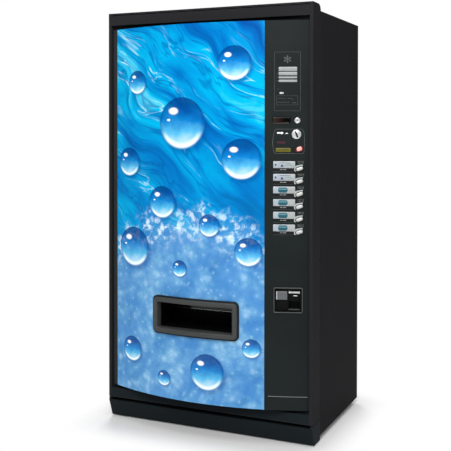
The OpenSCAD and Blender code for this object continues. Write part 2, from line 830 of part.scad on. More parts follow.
module hinge_plates() {
    hinge_foot = 60;
    color(zinc) at_rim() {
        hinge_arm_plate(cabinet_z1);
        span([hinge_x - hinge_arm / 2, cabinet_y0, cabinet_z1],
            [hinge_x - hinge_arm / 2 + hinge_foot, cabinet_y0 + 90, cabinet_z1 + hinge_t]);
        translate([hinge_x, hinge_y, cabinet_z1 - 26]) cylinder(d = hinge_pin_d, h = 27);
        hinge_arm_plate(low_plate_z);
        span([hinge_x - hinge_arm / 2, cabinet_y0 - plate_t, cabinet_lift + 14],
            [hinge_x - hinge_arm / 2 + hinge_foot, cabinet_y0, low_plate_z + hinge_t]);
        translate([hinge_x, hinge_y, low_plate_z]) {
            cylinder(d = hinge_pin_d, h = hinge_t + 6 + door_sheet + gusset_t + 4);
            cylinder(d = hinge_pin_d + 8, h = hinge_t + 6);
        }
    }
}

// Side view of the door with its round upper rear corner
module side_outline(inset) {
    r = corner_r - inset;
    tall = door_z1 - door_z0 - 2 * inset;
    deep = door_t - 2 * inset;
    translate([inset, door_z0 + inset]) {
        square([deep, tall - r]);
        square([deep - r, tall]);
        translate([deep - r, tall - r]) circle(r);
    }
}

gusset = 24;
gusset_z = cabinet_z1 - 24;
notch_play = 2.5;
side_slot_w = 7;
side_slot_h = 14;
side_slot_in = 5;
side_slot_z = [door_z1 - 43, door_z1 - 87, lock_z - 254, lock_z - 581, port_z - 77, port_z - 166];
guide_z = [hook_z[0] - 60, lock_z - 300, hook_z[1] + 100];

module door_frame() {
    inner_half = half_w - door_sheet;
    color(rim_grey) at_rim() {
        difference() {
            union() {
                difference() {
                    out_x(-half_w, machine_w) side_outline(0);
                    out_x(-inner_half, 2 * inner_half) side_outline(door_sheet);
                    span([rim_w - half_w, -1, apron_z0],
                        [half_w - rim_w, door_sheet + 1, door_z1 - rim_top]);
                    span([rear_fold - inner_half, door_t - door_sheet - 1, cover_z0],
                        [inner_half - rear_fold, door_t + 1, cover_z1]);
                }
                for (z = [gusset_z, door_z0 + door_sheet]) span([-inner_half, hinge_y - gusset, z],
                    [hinge_x + gusset, hinge_y + gusset, z + gusset_t]);
                span([-inner_half, fold_y, panel_z1 - 16], [inner_half, fold_y + 4, door_z1 - door_sheet]);
                span([-inner_half, fold_y, apron_z0], [inner_half, fold_y + 4, panel_z0 + 16]);
                for (x = [rim_w - half_w - door_sheet, half_w - rim_w])
                    span([x, 0, apron_z0], [x + door_sheet, fold_y + 1, door_z1 - rim_top]);
                for (z = guide_z) span([bar_x - 4, bar_y - 5, z], [inner_half, bar_y + bar_d + 5, z + 12]);
            }
            translate([hinge_x, hinge_y, door_z0 - 1])
                cylinder(d = hinge_pin_d + 2 * fit, h = door_sheet + gusset_t + 2);
            translate([hinge_x, hinge_y, gusset_z - 1])
                cylinder(d = hinge_pin_d + 2 * fit, h = gusset_t + 2);
            span([-half_w - 1, hinge_y - hinge_arm, cabinet_z1 - notch_play],
                [hinge_x + hinge_arm / 2 + hinge_play, door_t + 1, cabinet_z1 + hinge_t + notch_play]);
            at_keepers()
                span([inner_half - rear_fold - 1, door_t - door_sheet - 1, -keeper_h / 2 - keeper_gap],
                    [keeper_x1 + keeper_gap, door_t + 1, keeper_h / 2 + keeper_gap]);
            for (z = side_slot_z) translate([0, door_t - side_slot_in, z])
                span([inner_half - 1, -side_slot_w, -side_slot_h / 2], [half_w + 1, 0, side_slot_h / 2]);
            for (z = guide_z) span([bar_x - slip, bar_y - slip, z - 1],
                [bar_x + bar_t + slip, bar_y + bar_d + slip, z + 13]);
        }
    }
}

// A flat strip across the door front with folded long edges
module front_strip(z0, z1) {
    strip_half = half_w - rim_w - loose / 2;
    span([-strip_half, 0, z0], [strip_half, door_sheet, z1]);
    for (z = [z0, z1 - door_sheet]) span([-strip_half, 0, z], [strip_half, fold_y, z + door_sheet]);
}

module top_cap() {
    color(rim_grey) at_rim() front_strip(cap_z0, cap_z1);
}

module bottom_apron() {
    color(paint) at_rim() front_strip(apron_z0, apron_z1);
}

throat_t = 3;

module print_panel() {
    color(print_blue) at_rim() difference() {
        front_panel(print_x0, print_x1);
        translate([port_x, 0, port_z]) out_y(front_y - 1, throat_y - front_y)
            round_rect(port_w + 2 * throat_t + 2 * slip, port_h + 2 * throat_t + 2 * slip,
                port_r + throat_t + slip);
    }
}

module hinge_side_trim() {
    color(rim_grey) at_rim() front_panel(-panel_half, strip_x1);
}

// Openings in the control column, each square to the arc
lock_body_d = 19;
slot_boss_d = 24;
cup_rim = 4;
ring_w = 3;
label_r = 3;

module control_holes() {
    on_front(lock_x, lock_z) rod_y(lock_body_d + 2 * fit, -5, 15);
    on_front(slot_x, slot_z) rod_y(slot_boss_d + 2 * slip, -5, 15);
    on_front(return_x, return_z) tilted() out_y(-5, 15) stadium(return_w + 2 * ring_w, return_h + 2 * ring_w);
    for (i = [0 : row_count - 1]) {
        on_front(button_x, row_height(i)) tilted() out_y(-5, 15)
            stadium(button_w + 2 * ring_w, button_h + 2 * ring_w);
        on_front(label_x, row_height(i) + label_rise) out_y(-5, 15) round_rect(label_w, label_h, label_r);
    }
    on_front(display_x, display_z) out_y(-5, 15) round_rect(display_w, display_h, label_r);
    on_front(cup_x, cup_z) out_y(-25, 60)
        square([cup_w - 2 * cup_rim + 2 * slip, cup_h - 2 * cup_rim + 2 * slip], center = true);
}

module control_panel() {
    rows_mid = row_height((row_count - 1) / 2);
    post_rise = (row_count - 1) * row_pitch / 2 + button_h / 2 + 10;
    color(column_grey) at_rim() {
        difference() {
            front_panel(column_x0, panel_half);
            control_holes();
        }
        on_front(button_x, rows_mid) for (x = [-9, 22], z = [-post_rise, post_rise])
            translate([x, 0, z]) rod_y(7, panel_t / 2, post_y - panel_t / 2);
    }
}

module light_reflector() {
    x0 = print_x0 + 8;
    x1 = print_x1 - 8;
    color(white) at_rim() {
        difference() {
            span([x0, 14, tray_z0], [x1, cover_y0, tray_z1]);
            span([x0 + sheet, 13, tray_z0 + sheet], [x1 - sheet, cover_y0 - sheet, tray_z1 - sheet]);
        }
        for (i = [0 : lamp_count - 1], z = [tray_z0, tray_z1 - holder_h]) translate([lamp_x(i), 0, z])
            span([-17, cover_y0 - 46, 0], [17, cover_y0 - 1, holder_h]);
    }
}

tray_z0 = mouth_z1 + 20;
tray_z1 = panel_z1 - 20;
holder_h = 24;
lamp_count = 3;
lamp_d = 26;
function lamp_x(i) = print_x0 + (i + 0.5) * (print_x1 - print_x0) / lamp_count;

module lamp_tubes() {
    tube_l = tray_z1 - tray_z0 - 2 * holder_h;
    color(lamp_white) at_rim() for (i = [0 : lamp_count - 1])
        translate([lamp_x(i), cover_y0 - 28, tray_z0 + holder_h]) {
        cylinder(d = lamp_d, h = tube_l);
        for (z = [0, tube_l - 14]) translate([0, 0, z]) cylinder(d = lamp_d + 2, h = 14);
    }
}

// The bezel's steps from the outer edge inwards: [inset, share of the full height]
bezel_steps = [[0, 0.52], [0.7, 0.6], [5.6, 0.84], [6.6, 0.93], [8.6, 1]];
groove_in = 4.4;
groove_w = 1.2;
groove_floor = 0.42;

// The bezel's outline, set in from its outer edge, with corners that tighten towards the opening
module bezel_outline(inset) {
    round_rect(bezel_out_w - 2 * inset, bezel_out_h - 2 * inset,
        bezel_r - inset * (bezel_r - port_r) / bezel_w);
}

// A slice of the bezel that follows the front arc between two heights
module bezel_slice(low, high) {
    intersection() {
        arc_band(low, high, port_z - bezel_out_h, port_z + bezel_out_h);
        translate([port_x, 0, port_z]) out_y(front_y - 1, bulge) children();
    }
}

// A frame that follows the front arc: an outer lip, a fine groove, a raised band and a throat into the door
module delivery_bezel() {
    color(rim_grey) at_rim() difference() {
        union() {
            difference() {
                union() for (step = bezel_steps)
                    bezel_slice(0, bezel_proud * step[1]) bezel_outline(step[0]);
                bezel_slice(bezel_proud * groove_floor, bezel_proud + 1) difference() {
                    bezel_outline(groove_in);
                    bezel_outline(groove_in + groove_w);
                }
            }
            intersection() {
                translate([0, arc_mid_y, port_z - bezel_out_h])
                    cylinder(r = arc_r + 1, h = 2 * bezel_out_h, $fn = arc_fn);
                translate([port_x, 0, port_z]) out_y(front_y, throat_y - front_y)
                    round_rect(port_w + 2 * throat_t, port_h + 2 * throat_t, port_r + throat_t);
            }
        }
        translate([port_x, 0, port_z]) out_y(front_y - 2, bulge) round_rect(port_w, port_h, port_r);
    }
}

hopper_z0 = port_z - port_h / 2 - 2;
hopper_z1 = port_z + port_h / 2 + 12;
hopper_half = port_w / 2 + hopper_side;

// Side view of the hopper, grown by its wall
module hopper_outline(grow) {
    polygon([[throat_y + hopper_t - grow, hopper_z0 - grow], [door_t - hopper_t + grow, hopper_z0 - grow],
        [door_t - hopper_t + grow, mouth_z1 + grow], [30 - grow / 2, mouth_z1 + grow],
        [-grow / 2, hopper_z1 + grow], [throat_y + hopper_t - grow, hopper_z1 + grow]]);
}

module delivery_hopper() {
    color(black) at_rim() translate([port_x, 0, 0]) difference() {
        out_x(-hopper_half - hopper_t, 2 * (hopper_half + hopper_t)) hopper_outline(hopper_t);
        out_x(-hopper_half, 2 * hopper_half) hopper_outline(0);
        translate([0, 0, port_z]) out_y(throat_y - 1, hopper_t + 2) round_rect(port_w, port_h, port_r);
        span([-hopper_half, door_t - hopper_t - 1, mouth_z0], [hopper_half, door_t + 1, mouth_z1]);
        translate([0, flap_y, flap_z]) rod_x(flap_pin_d + 2 * fit, -hopper_half - hopper_t - 1,
            2 * (hopper_half + hopper_t + 1));
    }
}

module delivery_flap() {
    flap_half = hopper_half - 3;
    color(lens_black) at_rim() translate([port_x, flap_y, flap_z]) {
        rod_x(flap_pin_d, -hopper_half - hopper_t, 2 * (hopper_half + hopper_t));
        span([-flap_half, -flap_t / 2, -flap_drop], [flap_half, flap_t / 2, 0]);
        translate([0, 0, -flap_drop]) rod_x(flap_t + 3, -flap_half, 2 * flap_half);
    }
}

plug_back = panel_t + 1;

// A pale crescent round the left and the top of a button's ring
module halo_outline() {
    ring_gap = 2 * ring_w + 2 * slip;
    difference() {
        stadium(button_w + ring_gap + 2 * halo_w, button_h + ring_gap + 2 * halo_w);
        stadium(button_w + ring_gap, button_h + ring_gap);
        translate([-button_w / 4, -2 * button_h]) square([2 * button_w, 2 * button_h]);
        translate([button_w / 2 - ring_w, -button_h]) square([button_w, 3 * button_h]);
    }
}

// Each label's plug goes through the panel, and its right end hugs the button on top of the panel
module label_windows() {
    proud = flange_lip + 1;
    color(white) at_rim() for (i = [0 : row_count - 1]) {
        on_front(label_x, row_height(i) + label_rise)
            out_y(-proud, proud + plug_back) round_rect(label_w, label_h, label_r);
        seat_on_front() on_front(button_x, row_height(i)) tilted() out_y(-proud, 2 * proud) halo_outline();
    }
}

// Rings round the selection buttons and the coin return button, let into the panel
ring_t = 3;

module ring(w, h) {
    out_y(-ring_t, ring_t + plug_back) difference() {
        stadium(w + 2 * ring_w, h + 2 * ring_w);
        stadium(w + 2 * slip, h + 2 * slip);
    }
}

module button_bezels() {
    color(black) at_rim() {
        for (i = [0 : row_count - 1]) on_front(button_x, row_height(i)) tilted() ring(button_w, button_h);
        on_front(return_x, return_z) tilted() ring(return_w, return_h);
    }
}

// A pressed cap with a low crown and a stop flange behind the panel
module push_button(w, h) {
    proud = 6;
    out_y(1 - proud, proud - 1 + stop_y) stadium(w, h);
    out_y(-proud, 1) stadium(w - 3, h - 3);
    out_y(stop_y, stop_t) stadium(w + 4, h + 4);
}

module select_button(i) {
    color(white) at_rim() on_front(button_x, row_height(i)) tilted() push_button(button_w, button_h);
}

module coin_return_button() {
    color(return_red) at_rim() on_front(return_x, return_z) tilted() push_button(return_w, return_h);
}

module display_window() {
    color(lens_black) at_rim() on_front(display_x, display_z)
        out_y(-flange_lip, flange_lip + plug_back) round_rect(display_w, display_h, label_r);
}

module lock_cylinder() {
    cam_t = 3;
    cam_pin_d = 5;
    color(chrome) at_rim() on_front(lock_x, lock_z) {
        difference() {
            union() {
                rod_y(lock_d, -4, 4 - slip);
                rod_y(lock_d - 4, -6, 4);
                rod_y(lock_body_d, -2, cam_y + 3);
            }
            span([-1, -7, -5], [1, -3, 5]);
        }
        rotate([0, 45, 0]) {
            span([0, cam_y, -7], [cam_r, cam_y + cam_t, 7]);
            rod_y(14, cam_y, cam_t);
            translate([cam_r, 0, 0]) {
                rod_y(14, cam_y, cam_t);
                rod_y(cam_pin_d, cam_y, cam_t + tab_gap + 6);
            }
        }
    }
}

// An upright bar with two hooks, and the slotted tab that the lock cam lifts
module latch_bar() {
    tab_t = 3;
    tab_y = cam_y + 3 + tab_gap;
    tab_reach = (bar_x + bar_t - lock_x) / cos(arc_turn(lock_x)) + 20;
    drop = cam_r * sin(45);
    color(zinc) at_rim() {
        span([bar_x, bar_y, hook_z[1]], [bar_x + bar_t, bar_y + bar_d, hook_z[0] + hook_rise]);
        for (z = hook_z) {
            span([bar_x, bar_y, z], [bar_x + bar_t, hook_y, z + hook_arm]);
            span([bar_x, hook_y - hook_tip, z], [bar_x + bar_t, hook_y, z + hook_rise]);
        }
        intersection() {
            on_front(lock_x, lock_z) difference() {
                span([4, tab_y, -drop - 9], [tab_reach + 20, tab_y + tab_t, 9 - drop]);
                span([drop - 4, tab_y - 1, -drop - 3.5], [cam_r + 4, tab_y + tab_t + 1, 3.5 - drop]);
            }
            span([lock_x - 40, 0, 0], [bar_x + bar_t, door_t, machine_h]);
        }
    }
}

slot_l = 28;

// A chrome disc with a slanted slot, and a boss through the panel
module coin_slot_plate() {
    color(chrome) at_rim() difference() {
        union() {
            seat_on_front() on_front(slot_x, slot_z) {
                rod_y(slot_d, -2, 6);
                rod_y(slot_d - 6, -3.5, 6);
            }
            on_front(slot_x, slot_z) rod_y(slot_boss_d, -1, 15);
        }
        on_front(slot_x, slot_z) rotate([0, 90 - slot_lean, 0])
            span([-slot_l / 2, -10, -slot_w / 2], [slot_l / 2, 20, slot_w / 2]);
    }
}

cup_depth = 50;
cup_floor = 12;
cup_pocket_x0 = 1;
cup_pocket_x1 = cup_w / 2 - cup_rim - 6;
cup_top = cup_h / 2 - cup_rim - 12;
cup_axis_y = cup_floor + 6;
cup_axis_z = cup_top - 6;
cup_pin_d = 4;

module coin_cup() {
    inner_w = cup_w - 2 * cup_rim;
    inner_h = cup_h - 2 * cup_rim;
    color(black) at_rim() {
        difference() {
            union() {
                seat_on_front() on_front(cup_x, cup_z) out_y(-3, 24) round_rect(cup_w, cup_h, 6);
                on_front(cup_x, cup_z) out_y(-1, cup_depth + 1) square([inner_w, inner_h], center = true);
            }
            on_front(cup_x, cup_z) {
                out_y(-10, cup_floor + 10) square([inner_w - 4, inner_h - 4], center = true);
                span([cup_pocket_x0, 0, 6 - inner_h / 2], [cup_pocket_x1, cup_depth - 3, cup_top]);
                translate([0, cup_axis_y, cup_axis_z])
                    rod_x(cup_pin_d + 2 * fit, cup_pocket_x0 - 3, cup_pocket_x1 - cup_pocket_x0 + 6);
            }
        }
        on_front(cup_x, cup_z) span([6 - inner_w / 2, 6, 1], [cup_pocket_x0 - 5, cup_floor + 1, cup_top]);
    }
}

module coin_cup_flap() {
    flap_x0 = cup_pocket_x0 + loose;
    flap_l = cup_pocket_x1 - cup_pocket_x0 - 2 * loose;
    color(chrome) at_rim() on_front(cup_x, cup_z) translate([0, cup_axis_y, cup_axis_z]) {
        rod_x(cup_pin_d, cup_pocket_x0 - 2, cup_pocket_x1 - cup_pocket_x0 + 4);
        rod_x(9, flap_x0, flap_l);
        span([flap_x0, -1.2, -36], [flap_x0 + flap_l, 1.2, 0]);
    }
}

mech_rise = 32;
mech_z0 = cup_z + cup_h / 2 + mech_rise;
mech_z1 = row_z + label_rise + label_h;
mech_y0 = 24;
mech_w = 87;
mech_head = 30;
mech_joint = 8;
mech_mouth_w = 34;
tube_count = 4;
tube_w = 16;
tube_gap = 5;
tube_h = 170;
drop_w = 40;
drop_d = 12;

// A coin changer: its head with the mouth behind the slot, four coin tubes, and a drop to the cash box
module coin_mechanism() {
    x1 = button_x - button_w / 2 - mech_joint;
    x0 = x1 - mech_w;
    tubes_w = tube_count * (tube_w + tube_gap) - tube_gap;
    color(black) at_rim() {
        span([x0, mech_y0, mech_z0], [x1, cover_y0, mech_z1]);
        span([slot_x - mech_mouth_w / 2, mech_y0 - 2, mech_z1 - mech_joint],
            [slot_x + mech_mouth_w / 2, cover_y0, slot_z - slot_d / 2 - 1]);
        span([x0, mech_y0, mech_z1 - mech_joint], [slot_x, cover_y0, mech_z1 + mech_head]);
        for (i = [0 : tube_count - 1]) translate([(x0 + x1 - tubes_w) / 2 + i * (tube_w + tube_gap), 0, 0])
            span([0, mech_y0 - 4, mech_z0 + mech_head], [tube_w, mech_y0 + 1, mech_z0 + mech_head + tube_h]);
        span([column_mid - drop_w, cover_y0 - drop_d, cash_z1], [column_mid, cover_y0, mech_z0 + 1]);
    }
}

cash_h = 120;
cash_z1 = cup_z - cup_h / 2 - 40;

cash_half = 60;
cash_wall = 2;
cash_y0 = 20;

module cash_box() {
    inner = cash_half - cash_wall;
    color(zinc) at_rim() difference() {
        span([column_mid - cash_half, cash_y0, cash_z1 - cash_h],
            [column_mid + cash_half, cover_y0, cash_z1]);
        span([column_mid - inner, cash_y0 + cash_wall, cash_z1 - cash_h + cash_wall],
            [column_mid + inner, cover_y0 - cash_wall, cash_z1 - cash_wall]);
        span([column_mid - drop_w, cover_y0 - drop_d + 1, cash_z1 - cash_wall - 1],
            [column_mid - cash_wall, cover_y0 - 1, cash_z1 + 1]);
    }
}

module control_board() {
    rows_mid = row_height((row_count - 1) / 2);
    rise = (row_count - 1) * row_pitch / 2 + button_h / 2 + 16;
    color(board_green) at_rim() {
        on_front(button_x, rows_mid) span([-28, post_y, -rise], [28, post_y + 2, rise]);
        for (i = [0 : row_count - 1]) on_front(button_x, row_height(i))
            span([-6, post_y + 1, -6], [6, post_y + 8, 6]);
    }
}

cover_margin = 70;
cover_rib = 36;
cover_fields = 3;
cover_recess = 5;
cover_field_r = 24;

// A formed liner with recessed fields above the hopper, and cut-outs for hopper, lock cam and hinge
module door_back_cover() {
    field_z0 = mouth_z1 + hopper_t + cover_margin;
    field_h = cover_z1 - cover_margin - field_z0;
    field_w = (2 * (cover_half - cover_margin) - (cover_fields - 1) * cover_rib) / cover_fields;
    color(white) at_rim() difference() {
        span([-cover_half, cover_y0, cover_z0], [cover_half, door_t, cover_z1]);
        translate([port_x, 0, 0]) span([-hopper_half - hopper_t - slip, cover_y0 - 1,
            hopper_z0 - hopper_t - slip],
            [hopper_half + hopper_t + slip, door_t + 1, mouth_z1 + hopper_t + slip]);
        span([cover_half - 34, cover_y0 - 1, lock_z - 45], [cover_half + 1, cover_y0 + 16, lock_z + 45]);
        span([-cover_half - 1, cover_y0 - 1, gusset_z - loose],
            [hinge_x + gusset + loose, hinge_y + gusset + loose, cover_z1 + 1]);
        for (i = [0 : cover_fields - 1])
            translate([(i - (cover_fields - 1) / 2) * (field_w + cover_rib), 0, field_z0 + field_h / 2])
                out_y(door_t - cover_recess, cover_recess + 1) round_rect(field_w, field_h, cover_field_r);
    }
}

module door_gasket() {
    ring_half = cover_half - gasket_in;
    ring_z0 = deck_z + 8;
    ring_z1 = cabinet_z1 - front_fold - gasket_in;
    seat_y = cabinet_y0 + sheet - slip;
    color(rubber) at_rim() difference() {
        span([-ring_half, door_t, ring_z0], [ring_half, seat_y, ring_z1]);
        span([gasket_w - ring_half, door_t - 1, ring_z0 + gasket_w],
            [ring_half - gasket_w, seat_y + 1, ring_z1 - gasket_w]);
    }
}

cabinet_shell();
insulated_tank();
base_frame();
kick_plate();
levelling_feet();
rear_grille();
power_inlet();
column_walls();
rotor_cradle();
rotor_motors();
delivery_chute();
evaporator();
evaporator_shroud();
evaporator_fan();
compressor();
condenser();
condenser_shroud();
condenser_fan();
drip_tray();
refrigerant_pipes();
power_supply();
hinge_plates();
latch_keeper();
door_frame();
top_cap();
bottom_apron();
print_panel();
hinge_side_trim();
control_panel();
light_reflector();
lamp_tubes();
delivery_bezel();
delivery_hopper();
delivery_flap();
label_windows();
button_bezels();
coin_return_button();
display_window();
lock_cylinder();
latch_bar();
coin_slot_plate();
coin_cup();
coin_cup_flap();
coin_mechanism();
cash_box();
control_board();
door_back_cover();
door_gasket();
for (i = [0 : lane_count - 1]) dispense_rotor(i);
for (i = [0 : row_count - 1]) select_button(i);
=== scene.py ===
"""Looks of the cold-drink vending machine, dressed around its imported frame.

The axes are the frame's own, in metres: +X to the machine's right, +Y to its back, +Z up. Mesh sizes are in mm, and
MM turns them into metres.
"""

import json
import math

import bmesh
import bpy
from mathutils import Matrix, Vector


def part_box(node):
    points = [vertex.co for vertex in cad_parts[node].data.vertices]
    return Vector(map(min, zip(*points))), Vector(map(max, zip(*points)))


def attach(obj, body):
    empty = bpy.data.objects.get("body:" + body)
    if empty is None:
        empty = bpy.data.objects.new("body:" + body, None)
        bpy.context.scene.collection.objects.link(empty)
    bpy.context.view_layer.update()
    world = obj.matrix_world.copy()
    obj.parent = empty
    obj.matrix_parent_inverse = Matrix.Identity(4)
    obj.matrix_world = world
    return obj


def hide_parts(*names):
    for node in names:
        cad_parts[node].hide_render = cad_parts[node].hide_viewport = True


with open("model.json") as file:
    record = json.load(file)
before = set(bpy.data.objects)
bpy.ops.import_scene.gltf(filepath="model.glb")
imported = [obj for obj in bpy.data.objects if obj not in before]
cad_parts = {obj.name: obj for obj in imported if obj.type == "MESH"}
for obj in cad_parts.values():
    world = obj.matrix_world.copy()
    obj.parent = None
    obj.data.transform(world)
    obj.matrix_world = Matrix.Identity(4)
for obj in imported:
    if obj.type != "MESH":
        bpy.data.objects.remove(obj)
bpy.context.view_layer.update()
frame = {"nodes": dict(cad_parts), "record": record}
NODES = frame["nodes"]
MM = 0.001


# The convex front: one arc, found from the print panel's crown and the inner edge of the trim strip
CROWN_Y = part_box("print_panel")[0].y
STRIP_LOW, STRIP_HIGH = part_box("hinge_side_trim")
ARC_SAG = STRIP_LOW.y - CROWN_Y
ARC_R = (STRIP_HIGH.x ** 2 + ARC_SAG ** 2) / (2 * ARC_SAG)
ARC_Y = CROWN_Y + ARC_R
RIGHT, BACK, UP = Vector((1, 0, 0)), Vector((0, 1, 0)), Vector((0, 0, 1))


def on_arc(x, z, lift):
    """A point that follows the front's curve; lift runs straight out of it."""
    turn, reach = math.asin(x * MM / ARC_R), ARC_R + lift * MM
    return Vector((math.sin(turn) * reach, ARC_Y - math.cos(turn) * reach, z * MM))


def on_plane(mid_x, mid_z):
    """Places points on the flat that touches the front at one spot."""
    turn, origin = math.asin(mid_x * MM / ARC_R), on_arc(mid_x, mid_z, 0)
    right = Vector((math.cos(turn), math.sin(turn), 0)) * MM
    out = Vector((math.sin(turn), -math.cos(turn), 0)) * MM
    return lambda x, z, lift: origin + right * x + UP * (z * MM) + out * lift


def flat_on(origin, right, up):
    """Places points on a flat face from its origin in metres and two directions."""
    out = right.cross(up)
    return lambda x, z, lift: Vector(origin) + (right * x + up * z + out * lift) * MM


def centre(node):
    """The middle of a CAD node's box."""
    low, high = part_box(node)
    return (low + high) / 2


# Places on the front in mm: heights come from the frame, the rest from the control column's layout
COLUMN_MID = sum(corner.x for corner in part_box("control_panel")) / 2 / MM
BUTTON_X = COLUMN_MID + 47
LABEL_X = COLUMN_MID - 12
DISPLAY_X = COLUMN_MID - 22
LOCK_Z = 1345
ROWS = [centre(f"select_button_{row}").z / MM for row in range(1, 7)]
AT_RETURN = on_plane(COLUMN_MID + 46, centre("coin_return_button").z / MM)
AT_SLOT = on_plane(COLUMN_MID + 35, centre("coin_slot_plate").z / MM)
AT_LOCK = on_plane(COLUMN_MID + 38.5, LOCK_Z)
AT_DISPLAY = on_plane(DISPLAY_X, centre("display_window").z / MM)
AT_CUP = on_plane(COLUMN_MID + 4.5, centre("coin_cup").z / MM)
SLOT_LEAN = math.radians(21)
LABEL_PROUD = 3
LABEL_RISE = 17
BUTTON_TILT = math.radians(18)
BUTTON_HALF = (14.6, 7.1)
RETURN_HALF = (16.6, 11.1)
FILM = 0.25
OVER_FILM = 0.85


# Shader building blocks

MATERIALS = {}
EDGE_MASK_RADIUS = 1.5 * MM


def new_material(name):
    """Starts a material, kept under its name; gives its tree and shader."""
    material = MATERIALS[name] = bpy.data.materials.new(name)
    material.use_nodes = True
    return material.node_tree, material.node_tree.nodes["Principled BSDF"]


def srgb(*display):
    """A display colour from 0 to 255 as the linear colour that the shaders take."""
    shares = [value / 255 for value in display]
    return tuple(s / 12.92 if s <= 0.04045 else ((s + 0.055) / 1.055) ** 2.4 for s in shares) + (1.0,)


def wire(tree, node, inputs):
    """Sets a node's inputs to values or to other nodes' outputs."""
    for key, value in inputs.items():
        if isinstance(value, bpy.types.NodeSocket):
            tree.links.new(value, node.inputs[key])
        else:
            node.inputs[key].default_value = value


def add(tree, kind, inputs=None, **settings):
    """Adds a node with its settings and inputs."""
    made = tree.nodes.new(kind)
    for key, value in settings.items():
        setattr(made, key, value)
    wire(tree, made, inputs or {})
    return made


def place(tree, scale=(1, 1, 1)):
    """The surface's own place in metres, stretched along its axes."""
    coords = add(tree, "ShaderNodeTexCoord").outputs["Object"]
    return add(tree, "ShaderNodeMapping", {"Vector": coords, "Scale": scale}).outputs["Vector"]


def axes(tree, coords):
    """The outputs X, Y and Z of a place."""
    return add(tree, "ShaderNodeSeparateXYZ", {"Vector": coords}).outputs


def noise(tree, coords, scale, detail=4.0, roughness=0.5, distortion=0.0):
    """A cloud between 0 and 1."""
    inputs = {"Vector": coords, "Scale": scale, "Detail": detail, "Roughness": roughness, "Distortion": distortion}
    return add(tree, "ShaderNodeTexNoise", inputs).outputs["Fac"]


def cells(tree, coords, scale, feature="F1", out="Distance", randomness=1.0):
    """A pattern of cells; by default the distance from their middles."""
    inputs = {"Vector": coords, "Scale": scale, "Randomness": randomness}
    return add(tree, "ShaderNodeTexVoronoi", inputs, feature=feature).outputs[out]


def fade(tree, value, low, high, start=0.0, end=1.0):
    """Maps low..high to start..end with a smooth ease, and clamps."""
    inputs = {"Value": value, "From Min": low, "From Max": high, "To Min": start, "To Max": end}
    return add(tree, "ShaderNodeMapRange", inputs, interpolation_type="SMOOTHSTEP").outputs["Result"]


def calc(tree, operation, first, second=0.0):
    """One step of arithmetic on numbers."""
    return add(tree, "ShaderNodeMath", {0: first, 1: second}, operation=operation).outputs[0]


def times(tree, first, second):
    """The product of two numbers."""
    return calc(tree, "MULTIPLY", first, second)


def vector(tree, operation, first, second=(0, 0, 0), out="Vector"):
    """One step of arithmetic on vectors."""
    return add(tree, "ShaderNodeVectorMath", {0: first, 1: second}, operation=operation).outputs[out]


def length(tree, value):
    """The length of a vector."""
    return vector(tree, "LENGTH", value, out="Value")


def along(tree, value, axis):
    """How far a vector reaches along an axis."""
    return vector(tree, "DOT_PRODUCT", value, axis, out="Value")


def blend(tree, factor, first, second):
    """Mixes two colours by a factor."""
    return add(tree, "ShaderNodeMix", {0: factor, 6: first, 7: second}, data_type="RGBA").outputs[2]


def ramp(tree, factor, *stops):
    """A colour ramp; stops are (position, display colour)."""
    made = add(tree, "ShaderNodeValToRGB", {"Fac": factor})
    points = made.color_ramp.elements
    while len(points) < len(stops):
        points.new(0.5)
    for point, (position, colour) in zip(points, stops):
        point.position = position
        point.color = srgb(*colour)
    return made.outputs["Color"]


def bump(tree, height, strength, depth):
    """A normal roughened by a height pattern; depth is in mm."""
    inputs = {"Height": height, "Strength": strength, "Distance": depth * MM}
    return add(tree, "ShaderNodeBump", inputs).outputs["Normal"]


def worn_and_highlit_edges(tree, coords):
    """1 on sharp edges, broken up by a fine noise, and 0 on open faces; it mixes in an edge colour that stands for
    wear and, where lighter, a painted edge highlight.
    """
    round_normal = add(tree, "ShaderNodeBevel", {"Radius": EDGE_MASK_RADIUS}, samples=4).outputs["Normal"]
    normal = add(tree, "ShaderNodeNewGeometry").outputs["Normal"]
    edge = fade(tree, along(tree, round_normal, normal), 0.985, 0.86)
    return times(tree, edge, fade(tree, noise(tree, coords, 60, 5, 0.65), 0.42, 0.62))


def tint(colour, share):
    """A colour made lighter or darker by a share."""
    return tuple(min(1.0, value * share) for value in colour[:3]) + (1.0,)


def finish(name, colour, rough, metallic=0.0, specular=0.5, coat=0.0, tone=0.12, cloud=2.5, grain=900, depth=0.05,
           edge=None, smear=0.1, stretch=(1, 1, 1)):
    """A solid surface: cloudy tone, fine grain, uneven gloss and edges that are worn and, where lighter, painted with
    a highlight; gives its tree and shader.

    colour and edge are display colours, cloud and grain are in cycles per metre, and depth is in mm.
    """
    tree, shader = new_material(name)
    coords, base = place(tree, stretch), srgb(*colour)
    body = fade(tree, noise(tree, coords, cloud, 5, 0.6), 0.3, 0.7)
    shade = blend(tree, body, tint(base, 1 - tone), tint(base, 1 + tone))
    fine = noise(tree, coords, grain, 2, 0.5)
    shade = blend(tree, times(tree, fade(tree, fine, 0.35, 0.65), tone * 0.6), shade, tint(base, 1.25))
    # The edge colour is partly wear and, on the dark paints and plastics where it is lighter, a painted edge
    # highlight.
    if edge:
        shade = blend(tree, worn_and_highlit_edges(tree, coords), shade, srgb(*edge))
    gloss = fade(tree, noise(tree, coords, 14, 6, 0.62), 0.25, 0.75, rough - smear, rough + smear)
    wire(tree, shader, {"Base Color": shade, "Roughness": gloss, "Normal": bump(tree, fine, 0.6, depth),
                        "Metallic": metallic, "Specular IOR Level": specular, "Coat Weight": coat})
    return tree, shader


# Patterned materials

